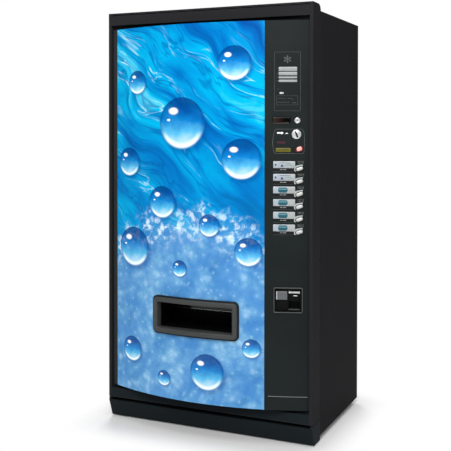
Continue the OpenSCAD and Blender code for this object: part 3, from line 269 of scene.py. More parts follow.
def zinc_steel():
    """Galvanised sheet: a spangle of flat crystals with a cloudy, dull gloss."""
    tree, shader = new_material("zinc_steel")
    coords = place(tree)
    grey = add(tree, "ShaderNodeRGBToBW", {"Color": cells(tree, coords, 120, out="Color")}).outputs["Val"]
    shade = ramp(tree, grey, (0.1, (138, 142, 144)), (0.9, (162, 166, 167)))
    dull = fade(tree, noise(tree, coords, 6, 6, 0.6), 0.5, 0.75)
    wire(tree, shader, {"Base Color": blend(tree, dull, shade, srgb(142, 143, 140)),
                        "Roughness": fade(tree, grey, 0.0, 1.0, 0.32, 0.5),
                        "Normal": bump(tree, grey, 0.25, 0.05), "Metallic": 0.55})


def fin_metal():
    """Aluminium fins: fine upright lines with slight dents and a dusty edge."""
    tree, shader = new_material("fin_metal")
    coords = place(tree)
    lines = add(tree, "ShaderNodeTexWave", {"Vector": coords, "Scale": 120, "Distortion": 0.6, "Detail": 2,
                                            "Detail Scale": 2}, bands_direction="X").outputs["Fac"]
    dust = fade(tree, noise(tree, coords, 9, 6, 0.65), 0.48, 0.72)
    shade = blend(tree, dust, srgb(168, 172, 176), srgb(140, 138, 132))
    wire(tree, shader, {"Base Color": blend(tree, times(tree, lines, 0.35), shade, srgb(70, 72, 75)),
                        "Roughness": fade(tree, dust, 0, 1, 0.3, 0.6),
                        "Normal": bump(tree, lines, 0.5, 0.3), "Metallic": 0.5})


def board():
    """Circuit board: green mask with copper tracks and pale part marks."""
    tree, shader = new_material("board")
    coords = place(tree)
    tracks = cells(tree, coords, 160, feature="DISTANCE_TO_EDGE", randomness=0.35)
    shade = blend(tree, fade(tree, tracks, 0.08, 0.03), srgb(18, 74, 46), srgb(46, 118, 74))
    pads = fade(tree, cells(tree, coords, 220, randomness=0.2), 0.16, 0.1)
    wire(tree, shader, {"Base Color": blend(tree, pads, shade, srgb(196, 178, 120)),
                        "Roughness": fade(tree, noise(tree, coords, 40), 0.3, 0.7, 0.25, 0.45)})


# The back-lit print: water above a frothy shallow, and clear drops as (x, z, radius), in metres
SHORE_Z, SHORE_SWELL, SHORE_SPRAY = 0.83, 0.07, 0.34
DROPS = ((-0.315, 1.515, 0.052), (0.165, 1.585, 0.074), (-0.075, 1.335, 0.112), (-0.365, 1.165, 0.064),
         (0.195, 1.185, 0.086), (-0.175, 0.995, 0.070), (0.055, 0.905, 0.048), (0.225, 0.800, 0.060),
         (-0.335, 0.790, 0.088), (-0.085, 0.715, 0.036), (-0.345, 0.335, 0.056), (0.045, 0.285, 0.078),
         (0.238, 0.400, 0.040), (-0.165, 0.235, 0.034))
DROP_REACH = 1.35
FAR_AWAY = (9, 9, 9)


def streaks(tree, coords, slant, run, rise):
    """Coordinates in which noise turns into streaks that slant down to the right."""
    c, s = math.cos(slant), math.sin(slant)
    inputs = {"X": times(tree, along(tree, coords, (c, 0, -s)), run),
              "Z": times(tree, along(tree, coords, (s, 0, c)), rise)}
    return add(tree, "ShaderNodeCombineXYZ", inputs).outputs["Vector"]


def ridge(tree, value, width):
    """1 where a noise crosses its middle, 0 a width away from there."""
    return fade(tree, calc(tree, "ABSOLUTE", calc(tree, "SUBTRACT", value, 0.5)), width, 0.0)


def open_water(tree, flat, height):
    """Silky slanting bands in saturated blue, with dark troughs and thin glints."""
    drift = add(tree, "ShaderNodeTexNoise", {"Vector": flat, "Scale": 2.4, "Detail": 2.0}).outputs["Color"]
    sway = vector(tree, "MULTIPLY", vector(tree, "SUBTRACT", drift, (0.5, 0.5, 0.5)), (0.30, 0.0, 0.30))
    bent = vector(tree, "ADD", flat, sway)
    silk = noise(tree, streaks(tree, bent, 0.60, 1.5, 6.0), 1.5, 5, 0.52, 0.7)
    water = ramp(tree, silk, (0.28, (0, 70, 140)), (0.42, (0, 116, 188)), (0.52, (0, 150, 208)),
                 (0.62, (0, 176, 224)), (0.78, (104, 218, 242)))
    sheet = noise(tree, streaks(tree, bent, 0.72, 1.0, 3.0), 1.3, 3, 0.5, 0.4)
    water = blend(tree, fade(tree, sheet, 0.52, 0.36, 0.0, 0.55), water, srgb(0, 84, 168))
    thread = noise(tree, streaks(tree, bent, 0.56, 1.6, 9.0), 1.4, 3, 0.5, 0.5)
    glint = times(tree, ridge(tree, thread, 0.014), fade(tree, silk, 0.48, 0.62))
    water = blend(tree, times(tree, glint, 0.65), water, srgb(196, 240, 254))
    trough = noise(tree, streaks(tree, bent, 0.64, 1.2, 7.0), 1.7, 3, 0.5, 0.6)
    water = blend(tree, times(tree, ridge(tree, trough, 0.03), 0.5), water, srgb(0, 66, 148))
    return blend(tree, fade(tree, height, 1.35, 0.85, 0.0, 0.35), water, srgb(10, 146, 204))


def shallow_water(tree, flat):
    """Pale froth: round foam in two sizes over a cloudy icy blue, with sparks."""
    cloud = noise(tree, flat, 6.5, 9, 0.66, 0.5)
    shade = ramp(tree, cloud, (0.28, (46, 108, 172)), (0.44, (86, 148, 198)), (0.58, (116, 172, 212)),
                 (0.76, (176, 214, 236)))
    for scale, share in ((15.0, 0.42), (37.0, 0.34)):
        foam = cells(tree, flat, scale)
        shade = blend(tree, fade(tree, foam, 0.42, 0.75, 0.0, share), shade, srgb(62, 126, 196))
        shade = blend(tree, fade(tree, foam, 0.34, 0.05, 0.0, share * 0.8), shade, srgb(188, 222, 246))
    patches = fade(tree, noise(tree, flat, 7, 3), 0.5, 0.66)
    spark = times(tree, fade(tree, cells(tree, flat, 58), 0.15, 0.04), patches)
    return blend(tree, spark, shade, srgb(246, 252, 255))


def nearest_drop(tree, flat):
    """The place within a drop, 1 at its edge; far outside where no drop is near."""
    local = FAR_AWAY
    for x, z, radius in DROPS:
        moved = vector(tree, "SUBTRACT", flat, (x, 0, z))
        scaled = vector(tree, "MULTIPLY", moved, (1 / radius, 0, 1 / radius))
        near = calc(tree, "LESS_THAN", length(tree, scaled), DROP_REACH)
        local = add(tree, "ShaderNodeMix", {0: near, 4: local, 5: scaled}, data_type="VECTOR").outputs[1]
    return local


def clear_drops(tree, art, flat):
    """Clear drops: dark above, bright below, with a fine rim, two lights and a soft shade."""
    local = nearest_drop(tree, flat)
    reach, up = length(tree, local), axes(tree, local)["Z"]
    beside = length(tree, vector(tree, "SUBTRACT", local, (0.13, 0, -0.15)))
    art = blend(tree, fade(tree, beside, 1.14, 0.86, 0.0, 0.45), art, srgb(0, 58, 132))
    wobble = times(tree, calc(tree, "SUBTRACT", noise(tree, local, 1.6, 3), 0.5), 0.7)
    glass = ramp(tree, fade(tree, calc(tree, "ADD", up, wobble), -0.95, 0.95),
                 (0.0, (206, 242, 254)), (0.26, (96, 196, 238)), (0.55, (14, 128, 202)), (0.85, (2, 78, 154)),
                 (1.0, (0, 56, 124)))
    glass = blend(tree, 0.24, glass, art)
    glass = blend(tree, fade(tree, reach, 0.80, 1.0, 0.0, 0.6), glass, srgb(0, 62, 134))
    bowl = times(tree, fade(tree, reach, 0.70, 0.86), fade(tree, reach, 0.97, 0.88))
    glass = blend(tree, times(tree, bowl, fade(tree, up, -0.25, -0.75)), glass, srgb(238, 251, 255))
    for spot, size in (((-0.36, 0, 0.46), 0.26), ((-0.58, 0, 0.12), 0.09)):
        away = length(tree, vector(tree, "MULTIPLY", vector(tree, "SUBTRACT", local, spot), (1, 0, 1.5)))
        glass = blend(tree, fade(tree, away, size, size * 0.45), glass, srgb(250, 254, 255))
    return blend(tree, fade(tree, reach, 1.0, 0.965), art, glass)


def print_art():
    """Blue water above, a pale shallow below a slow swell, clear drops over both, and dark sheet edges."""
    tree, shader = new_material("print")
    flat = place(tree, (1, 0, 1))
    split = axes(tree, flat)
    across, height = split["X"], split["Z"]
    swell = calc(tree, "SINE", times(tree, calc(tree, "ADD", across, 0.30), 6.0))
    shore = calc(tree, "ADD", times(tree, swell, SHORE_SWELL), SHORE_Z)
    spray = times(tree, calc(tree, "SUBTRACT", noise(tree, flat, 8, 8, 0.62), 0.5), SHORE_SPRAY)
    over = calc(tree, "SUBTRACT", calc(tree, "ADD", height, spray), shore)
    art = blend(tree, fade(tree, over, -0.08, 0.10), shallow_water(tree, flat), open_water(tree, flat, height))
    foam = times(tree, fade(tree, over, -0.10, 0.0), fade(tree, over, 0.12, 0.02))
    lace = fade(tree, noise(tree, flat, 30, 6, 0.6), 0.46, 0.64, 0.0, 0.8)
    art = blend(tree, times(tree, foam, lace), art, srgb(222, 242, 253))
    art = clear_drops(tree, art, flat)
    facing = add(tree, "ShaderNodeNewGeometry").outputs["Normal"]
    level = calc(tree, "ABSOLUTE", along(tree, facing, (0, 0, 1)))
    art = blend(tree, fade(tree, level, 0.3, 0.6), art, srgb(20, 21, 22))
    wire(tree, shader, {"Base Color": art, "Emission Color": art, "Emission Strength": 0.1, "Roughness": 0.22,
                        "Specular IOR Level": 0.1})


def card_paper():
    """Pale card with a faint cool tone to the left."""
    tree, shader = new_material("card_paper")
    coords = place(tree)
    tone = fade(tree, axes(tree, coords)["X"], 0.325, 0.41)
    shade = blend(tree, tone, srgb(166, 176, 188), srgb(168, 171, 168))
    speck = fade(tree, noise(tree, coords, 150, 4), 0.45, 0.7, 0.0, 0.35)
    wire(tree, shader, {"Base Color": blend(tree, speck, shade, srgb(138, 148, 156)), "Specular IOR Level": 0.3,
                        "Roughness": fade(tree, noise(tree, coords, 60), 0.3, 0.7, 0.22, 0.34)})


def display_glass():
    """Smoked plastic, black at the right, with a painted brown glow at the left end."""
    tree, shader = new_material("display_glass")
    at = axes(tree, place(tree))
    # glow masks the painted brown glow: strongest at the left end and toward the lower left.
    low_left = calc(tree, "SUBTRACT", at["X"], times(tree, at["Z"], -0.6))
    glow = fade(tree, at["X"], (DISPLAY_X + 20) * MM, (DISPLAY_X - 34) * MM)
    glow = times(tree, glow, fade(tree, low_left, 1.19, 1.14, 0.6, 1.0))
    wire(tree, shader, {"Base Color": blend(tree, glow, srgb(5, 4, 4), srgb(52, 38, 31)), "Roughness": 0.2,
                        "Specular IOR Level": 0.06})


# Plain materials: those of the record's slots, and a few that dress single pieces
PAINT = {"grain": 700, "depth": 0.04, "smear": 0.02}
GLOSSY = {"depth": 0.01, "smear": 0.05}
BRUSHED = (1, 1, 0.08)
finish("painted_steel", (39, 39, 41), 0.62, specular=0.01, tone=0.03, edge=(52, 54, 55), **PAINT)
finish("rim_steel", (40, 40, 42), 0.6, specular=0.02, tone=0.03, edge=(62, 65, 66), **PAINT)
finish("trim_paint", (54, 55, 56), 0.42, specular=0.12, tone=0.03, edge=(70, 72, 73), **PAINT)
finish("base_paint", (28, 34, 37), 0.55, specular=0.04, tone=0.04, edge=(44, 48, 50), **PAINT)
finish("pot_paint", (22, 22, 23), 0.3, tone=0.2, grain=420, depth=0.12, edge=(88, 84, 78), smear=0.08)
finish("liner", (214, 216, 214), 0.45, tone=0.04, grain=240, depth=0.15, edge=(190, 190, 186))
finish("column_plastic", (29, 34, 34), 0.42, specular=0.08, grain=1300, depth=0.03, edge=(66, 72, 72))
finish("black_plastic", (20, 20, 21), 0.5, specular=0.25, grain=1100, depth=0.08, edge=(52, 52, 53))
finish("bezel_plastic", (62, 64, 63), 0.46, specular=0.3, grain=1400, depth=0.08, edge=(104, 106, 104))
# Near black, darker than the black plastic: it paints the shade in the port's and coin cup's recesses, and colours the
# slits, the display frame and the cup flap.
finish("black_and_painted_shade", (7, 7, 8), 0.5, specular=0.12, tone=0.06)
finish("smoked_plastic", (22, 18, 16), 0.12, specular=0.4, grain=300, depth=0.01, smear=0.04)
finish("button_plastic", (190, 192, 188), 0.24, tone=0.03, coat=0.4, **GLOSSY)
finish("return_plastic", (112, 18, 16), 0.2, tone=0.08, grain=500, coat=0.5, **GLOSSY)
wire(*finish("return_lens", (222, 156, 146), 0.2, tone=0.03, grain=500, coat=0.3, **GLOSSY),
     {"Emission Color": srgb(255, 190, 178), "Emission Strength": 0.2})
finish("lamp_glass", (240, 243, 244), 0.18, tone=0.02, grain=300, **GLOSSY)
finish("label_plastic", (168, 174, 176), 0.25, tone=0.05, grain=600, depth=0.02, edge=(150, 156, 158), smear=0.06)
finish("rotor_plastic", (222, 218, 204), 0.42, tone=0.05, grain=500, depth=0.04, edge=(200, 194, 176))
finish("reflector_white", (232, 234, 233), 0.5, tone=0.03, grain=500)
finish("seal_rubber", (58, 59, 60), 0.62, specular=0.3, tone=0.1, grain=800, depth=0.1)
finish("bright_metal", (200, 203, 206), 0.16, metallic=1.0, tone=0.05, grain=1600, depth=0.006, smear=0.06,
       stretch=BRUSHED)
finish("cup_metal", (108, 111, 113), 0.4, metallic=0.6, tone=0.05, grain=1500, depth=0.006, smear=0.05,
       stretch=BRUSHED)
finish("chrome", (204, 206, 208), 0.28, metallic=0.4, tone=0.03, grain=1500, depth=0.004, smear=0.05)
finish("copper_pipe", (184, 112, 74), 0.34, metallic=1.0, tone=0.25, cloud=12, grain=300, depth=0.02,
       edge=(120, 76, 56))
for name, colour in {
        "ink_white": (238, 240, 240), "ink_pale": (196, 200, 200), "ink_silver": (150, 154, 154),
        "ink_grey": (92, 97, 97), "ink_faint": (86, 91, 91), "ink_dark": (14, 16, 17), "ink_red": (76, 32, 44),
        "ink_yellow": (100, 94, 26), "ink_olive": (74, 70, 20), "ink_teal": (34, 86, 98),
        "ink_lagoon": (104, 152, 162), "ink_navy": (54, 74, 104), "ink_steel": (72, 76, 76),
        "lip_brown": (66, 58, 54)}.items():
    finish(name, colour, 0.38, specular=0.25, tone=0.06, cloud=40, grain=1800, depth=0.004)
for pattern in (zinc_steel, fin_metal, board, print_art, card_paper, display_glass):
    pattern()

# Nodes that take another material than their slot's: near-black painted shade in the hopper's and coin cup's insides,
# a bluish base and a paler hinge strip
RETONED = {"delivery_hopper": "black_and_painted_shade", "coin_cup": "black_and_painted_shade", "hinge_side_trim": "trim_paint",
           "kick_plate": "base_paint", "bottom_apron": "base_paint"}
for row in frame["record"]["subparts"]:
    coats = NODES[row["node"]].data.materials
    coats.clear()
    coats.append(MATERIALS[RETONED.get(row["node"], row["material_slot"])])


# Mesh building blocks; a place on the front is (x, z) in mm, and lift stands off it

WELD = 0.002 * MM


def rounded(half_w, half_h, radius, runs=0, corner=6):
    """Points of a rounded rectangle, counter-clockwise; runs counts more points along top and bottom."""
    points = []
    for quarter, (side, up) in enumerate(((1, 1), (-1, 1), (-1, -1), (1, -1))):
        mid_x, mid_z = side * (half_w - radius), up * (half_h - radius)
        for step in range(corner + 1):
            angle = math.radians(90 * (quarter + step / corner))
            points.append((mid_x + radius * math.cos(angle), mid_z + radius * math.sin(angle)))
        if quarter % 2 == 0:
            points += [(mid_x * (1 - 2 * (cut + 1) / (runs + 1)), up * half_h) for cut in range(runs)]
    return points


def block(x0, x1, z0, z1):
    """Corner points of a rectangle."""
    return [(x0, z0), (x1, z0), (x1, z1), (x0, z1)]


def turned(points, angle):
    """Points turned about their origin."""
    c, s = math.cos(angle), math.sin(angle)
    return [(x * c - z * s, x * s + z * c) for x, z in points]


def shorten(path, step=8.0):
    """Cuts a path's long runs so that none is over the step."""
    points = []
    for start, end in zip(path, path[1:]):
        parts = max(1, math.ceil((Vector(end) - Vector(start)).length / step))
        points += [tuple(Vector(start).lerp(Vector(end), i / parts)) for i in range(parts)]
    return points + [tuple(path[-1])]


def skin(bm, loops):
    """Joins closed loops of equal length with quads."""
    for low, high in zip(loops, loops[1:]):
        for i in range(len(low)):
            j = (i + 1) % len(low)
            bm.faces.new((low[i], low[j], high[j], high[i]))


def cap(bm, loop):
    """Closes a loop from rounded() with upright strips, which keep the front's curve."""
    half = len(loop) // 2
    top, bottom = loop[:half], loop[half:][::-1]
    for i in range(half - 1):
        bm.faces.new((top[i], top[i + 1], bottom[i + 1], bottom[i]))


def loft(bm, to, at, loops, close=True, tilt=0.0, runs=0, corner=6):
    """Lofts rounded outlines (half width, half height, radius, lift) about a place."""
    rings = []
    for half_w, half_h, radius, lift in loops:
        shape = turned(rounded(half_w, half_h, radius, runs, corner), tilt)
        rings.append([bm.verts.new(to(at[0] + x, at[1] + z, lift)) for x, z in shape])
    skin(bm, rings)
    if close:
        cap(bm, rings[-1])
    return rings


def slab(bm, to, x0, x1, z0, z1, low, high, radius=1.0, edge=0.3):
    """A thin plate with round corners and a softened front edge, between two lifts."""
    half_w, half_h = (x1 - x0) / 2, (z1 - z0) / 2
    edge = min(edge, (high - low) / 2)
    loops = [(half_w, half_h, radius, low), (half_w, half_h, radius, high - edge),
             (half_w - edge * 0.3, half_h - edge * 0.3, radius, high - edge * 0.3),
             (half_w - edge, half_h - edge, max(radius - edge, 0.05), high)]
    loft(bm, to, ((x0 + x1) / 2, (z0 + z1) / 2), loops, runs=max(0, int((x1 - x0) / 9)), corner=3)


def bar(bm, to, axis, sections, around=16):
    """A closed, turned bar along x from (x, radius) sections about an axis of (z, lift)."""
    turns = [2 * math.pi * step / around for step in range(around)]
    rings = [[bm.verts.new(to(x, axis[0] + radius * math.sin(t), axis[1] + radius * math.cos(t))) for t in turns]
             for x, radius in sections]
    skin(bm, rings)
    for ring in (rings[0], rings[-1]):
        bm.faces.new(ring)


def ribbon(bm, to, outer, inner, low, high):
    """A raised band between two edges of (x, z) points, closed at its ends."""
    corners = ((outer, low), (outer, high), (inner, high), (inner, low))
    rows = [[bm.verts.new(to(x, z, lift)) for x, z in path] for path, lift in corners]
    for below, above in zip(rows, rows[1:]):
        for i in range(len(below) - 1):
            bm.faces.new((below[i], below[i + 1], above[i + 1], above[i]))
    for end in (0, -1):
        bm.faces.new([row[end] for row in rows])


def stroke(bm, to, path, width, lift, closed=False):
    """A flat line of the given width along a path of (x, z) points."""
    points = [Vector(p) for p in (path if closed else shorten(path))]
    count = len(points)
    rows = []
    for i, point in enumerate(points):
        before = points[i - 1] if closed or i else point
        after = points[(i + 1) % count] if closed or i < count - 1 else point
        ahead = (after - before).normalized()
        side = Vector((-ahead.y, ahead.x)) * width / 2
        rows.append([bm.verts.new(to(p.x, p.y, lift)) for p in (point - side, point + side)])
    for i in range(count if closed else count - 1):
        j = (i + 1) % count
        bm.faces.new((rows[i][0], rows[j][0], rows[j][1], rows[i][1]))


def patch(bm, to, points, lift):
    """A small flat shape of (x, z) points."""
    bm.faces.new([bm.verts.new(to(x, z, lift)) for x, z in points])


def put(name, data):
    """A new object in the scene."""
    made = bpy.data.objects.new(name, data)
    bpy.context.scene.collection.objects.link(made)
    return made


def piece_from(bm, name, slot, body="door", sharp=40, look=None, stands_for=None):
    """Turns a mesh into a piece on a body, in its slot's material or another look; it may stand for a CAD node.

    Edges over the angle sharp, in degrees, aren't smoothed.
    """
    bmesh.ops.remove_doubles(bm, verts=bm.verts, dist=WELD)
    bmesh.ops.recalc_face_normals(bm, faces=bm.faces)
    mesh = bpy.data.meshes.new(name)
    bm.to_mesh(mesh)
    bm.free()
    mesh.shade_smooth()
    mesh.set_sharp_from_angle(angle=math.radians(sharp))
    mesh.materials.append(MATERIALS[look or slot])
    piece = put(name, mesh)
    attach(piece, body)
    if stands_for:
        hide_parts(stands_for)


def plate(name, slot, look, to, sides, radius, edge, **piece):
    """A piece that is one slab; sides are its x, z and lift limits."""
    bm = bmesh.new()
    slab(bm, to, *sides, radius, edge)
    piece_from(bm, name, slot, look=look, **piece)


def lofted(name, slot, to, loops, body="door", sharp=50, look=None, stands_for=None, **shape):
    """A piece that is one loft about its own place."""
    bm = bmesh.new()
    loft(bm, to, (0, 0), loops, **shape)
    piece_from(bm, name, slot, body, sharp, look, stands_for)


def marks(name, look, to=on_arc, lines=(), loops=(), shapes=(), lift=FILM, slot="column_plastic", body="door"):
    """One printed piece of open lines and closed loops, both (path, width), and filled shapes."""
    bm = bmesh.new()
    for path, width in lines:
        stroke(bm, to, path, width, lift)
    for path, width in loops:
        stroke(bm, to, path, width, lift, closed=True)
    for points in shapes:
        patch(bm, to, points, lift)
    piece_from(bm, name, slot, body, look=look)


# Delivery port and buttons

def bezel():
    """Delivery bezel: an outer lip, a groove and a raised band, with a throat back to the hopper."""
    low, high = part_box("delivery_bezel")
    mid = centre("delivery_bezel") / MM
    half_w, half_h = (high.x - low.x) / 2 / MM, (high.z - low.z) / 2 / MM
    band, outer_r, inner_r = 27, 22, 5
    # Each section's step in from the outer edge, and its lift
    lip = ((0, 0), (0, 8.5), (0.7, 11), (2.2, 12.2), (4.2, 12.0), (4.8, 9.5), (5.6, 9.5))
    face = ((5.6, 9.5), (5.9, 13.5), (6.8, 16.8), (8.8, 18.9), (11.5, 19.6), (20.5, 19.7), (24.2, 19.0), (26.2, 17),
            (band, 13.5), (band, 4), (band, -6))

    def rings_of(bm, section):
        """Lofts a section round the port."""
        loops = [(half_w - step, half_h - step, outer_r - step * (outer_r - inner_r) / band, lift)
                 for step, lift in section]
        return loft(bm, on_arc, (mid.x, mid.z), loops, close=False, runs=30, corner=10)

    bm = bmesh.new()
    rings_of(bm, lip)
    piece_from(bm, "port_lip", "black_plastic", sharp=50)
    bm = bmesh.new()
    inner = rings_of(bm, face)[-1]
    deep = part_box("delivery_hopper")[0].y
    skin(bm, [inner, [bm.verts.new((vert.co.x, deep, vert.co.z)) for vert in inner]])
    piece_from(bm, "port_bezel", "bezel_plastic", sharp=50, stands_for="delivery_bezel")


def flap_edge():
    """A beaded metal edge along the delivery flap's foot."""
    low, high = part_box("delivery_flap")
    radius, bead, count, margin, sunk = 3.2, 1.1, 40, 8, 0.2
    mid, half = centre("delivery_flap") / MM, (high.x - low.x) / 2 / MM - margin
    foot = low.z / MM + radius - sunk
    sections = []
    for step in range(count + 1):
        swell = bead * (step % 2) * (1 + 0.5 * math.sin(step * 1.7))
        sections.append((mid.x - half + 2 * half * step / count, radius + swell))
    bm = bmesh.new()
    bar(bm, lambda x, z, lift: Vector((x, mid.y - lift, z)) * MM, (foot, 0), sections, around=12)
    piece_from(bm, "flap_edge", "bright_metal", "delivery_flap", sharp=60)


OVAL = {"tilt": BUTTON_TILT, "runs": 2, "corner": 8}


def dome(half_w, half_h, rise, foot):
    """Sections of an oval dome of the given rise on a straight foot."""
    sunk, sweep, narrowing, steps = -8.0, 84, 0.96, 7
    loops = [(half_w, half_h, half_h, sunk), (half_w, half_h, half_h, foot)]
    for step in range(1, steps + 1):
        angle = math.radians(sweep * step / steps)
        inset = half_h * (1 - math.cos(angle)) * narrowing
        loops.append((half_w - inset, half_h - inset, half_h - inset, foot + rise * math.sin(angle)))
    return loops


def select_buttons():
    """Six pearl buttons with a soft oval crown, each on its own body."""
    for row, height in enumerate(ROWS, 1):
        node = f"select_button_{row}"
        crown = dome(*BUTTON_HALF, rise=3.6, foot=2.3)
        lofted(f"button_crown_{row}", "button_plastic", on_plane(BUTTON_X, height), crown, node, sharp=60,
               stands_for=node, **OVAL)


def button_rings():
    """Dark rings round the six selection buttons and the coin return."""
    # Each section's step out from the button, and its lift
    section = ((3.0, -2.0), (3.0, 1.7), (2.6, 2.6), (1.9, 3.0), (1.1, 2.7), (0.7, 1.8), (0.6, -2.0))
    places = [(on_plane(BUTTON_X, height), BUTTON_HALF) for height in ROWS] + [(AT_RETURN, RETURN_HALF)]
    bm = bmesh.new()
    for to, (half_w, half_h) in places:
        loops = [(half_w + out, half_h + out, half_h + out, lift) for out, lift in section]
        loft(bm, to, (0, 0), loops, close=False, **OVAL)
    piece_from(bm, "button_rings", "black_plastic", sharp=60, stands_for="button_bezels")


def return_button():
    """Coin return: a red oval with a pale, lit lens in its middle."""
    node, crown = "coin_return_button", dome(*RETURN_HALF, rise=3.4, foot=2.4)
    lofted("return_button_crown", "return_plastic", AT_RETURN, crown, node, sharp=60, stands_for=node, **OVAL)
    lens = ((11.6, 7.2, 7.2, 3.6), (11.4, 7.0, 7.0, 5.6), (10.2, 5.8, 5.8, 6.2), (7.0, 2.6, 2.6, 6.5))
    lofted("return_button_lens", "return_plastic", AT_RETURN, lens, node, sharp=60, look="return_lens", **OVAL)


# Prints and films on the control column

def box_path(x0, x1, z0, z1, radius):
    """A closed rounded outline between two corners."""
    shape = rounded((x1 - x0) / 2, (z1 - z0) / 2, radius, runs=max(1, int((x1 - x0) / 10)))
    return [((x0 + x1) / 2 + x, (z0 + z1) / 2 + z) for x, z in shape]


def snow_crystal(mid_x, mid_z, reach):
    """Lines of a six-armed crystal with two pairs of side twigs on each arm."""
    hub, arm_width, twig_width, spread = 0.6, 1.7, 1.4, math.radians(55)
    lines, root = [], Vector((mid_x, mid_z))
    for arm in range(6):
        angle = math.radians(60 * arm + 90)
        ahead = Vector((math.cos(angle), math.sin(angle)))
        lines.append(((root + ahead * hub, root + ahead * reach), arm_width))
        for share, twig in ((0.45, 0.28), (0.72, 0.22)):
            start = root + ahead * reach * share
            for side in (-spread, spread):
                lines.append(((start, start + Matrix.Rotation(side, 2) @ ahead * reach * twig), twig_width))
    return lines


def instruction_panel():
    """Thin framed panel with a cold mark, four plain bars and an inner box."""
    marks("panel_frame", "ink_faint", loops=[(box_path(330, 430.5, 1385, 1626, 2), 0.9),
                                             (box_path(338, 420, 1409, 1447, 1), 0.7)])
    marks("panel_crystal", "ink_grey", lines=snow_crystal(380.7, 1596, 16.5))
    bars = ((1548, 1565), (1530.5, 1544.5), (1518, 1525.5), (1503, 1512.5))
    bm = bmesh.new()
    for low, high in bars:
        slab(bm, on_arc, 347, 418, low, high, 0, 0.5, radius=0.6, edge=0.15)
    piece_from(bm, "panel_bars", "column_plastic", look="ink_silver")
    ticks = [block(339, 342, (low + high) / 2 - 1, (low + high) / 2 + 1) for low, high in bars]
    marks("panel_ticks", "ink_faint", shapes=ticks)
    marks("panel_tab", "ink_pale", shapes=[block(351, 366, 1454.5, 1461.5)])
    marks("panel_steps", "ink_faint", lines=[
        ([(342, 1436), (376, 1436)], 1.0), ([(382, 1436), (398, 1436), (404, 1428)], 1.0),
        ([(342, 1420), (388, 1420)], 1.0), ([(398, 1418), (414, 1418)], 1.6), ([(340, 1475), (350, 1475)], 0.8)])


def coin_panel():
    """Waisted outline round the coin controls, an arrow to the slot, plain dashes and a yellow strip."""
    left = [(338, 1310), (331, 1303), (327.5, 1288), (324.5, 1269), (323, 1254), (324.5, 1240), (327, 1227),
            (329, 1216), (334, 1209.5)]
    right = [(440.5, 1209.5), (444.5, 1217), (445.8, 1244), (446, 1273), (445, 1292), (442, 1304), (437, 1310)]
    marks("coin_outline", "ink_grey", loops=[(shorten(left + right + left[:1], 9)[:-1], 1.2)])
    arrow = [(341, 1291.4), (358, 1291.4), (358, 1287.6), (367.5, 1294.4), (358, 1300.2), (358, 1297.4),
             (341, 1297.4)]
    coin = [(373, 1290.6), (384, 1290.6), (382, 1293.8), (378.5, 1295.2), (375, 1293.8)]
    marks("coin_arrow", "ink_white", shapes=[arrow, coin])
    dashes = ((341, 5.5), (348, 8), (357.5, 6), (365, 8))
    marks("coin_dashes", "ink_red", shapes=[block(x, x + wide, 1251, 1259.5) for x, wide in dashes])
    plate("coin_strip", "column_plastic", "ink_yellow", on_arc, (336, 394, 1216, 1232.5, 0, 0.7), 1.5, 0.25)
    marks("coin_strip_lines", "ink_olive", lift=OVER_FILM,
          lines=[([(343, 1227.5), (386, 1227.5)], 2.2), ([(343, 1221.2), (378, 1221.2)], 2.2)])


def foot_line():
    """A thin trim line near the column's foot."""
    marks("foot_line", "ink_silver", lines=[([(306, 207), (460, 207)], 1.6)])


# Labels, lock, coin slot, display and coin cup

def barrel(teal, lagoon, to, mid_x, top):
    """A plain drum shape for a card: round sides and two pale bands."""
    half, belly, taper, steps = 11, 19.5, 5.5, 10

    def side(z):
        """Half the drum's width at a height."""
        return belly - taper * abs(z / half) ** 2.4

    levels = [-half + 2 * half * step / steps for step in range(steps + 1)]
    outline = [(mid_x + side(z), z) for z in levels] + [(mid_x - side(z), z) for z in reversed(levels)]
    patch(teal, to, outline, top + FILM)
    for low, high in ((1.5, 5.0), (7.4, 8.8)):
        band = [(mid_x - side(low) + 1, low), (mid_x + side(low) - 3, low), (mid_x + side(high) - 3, high),
                (mid_x - side(high) + 1, high)]
        patch(lagoon, to, band, top + 2 * FILM)


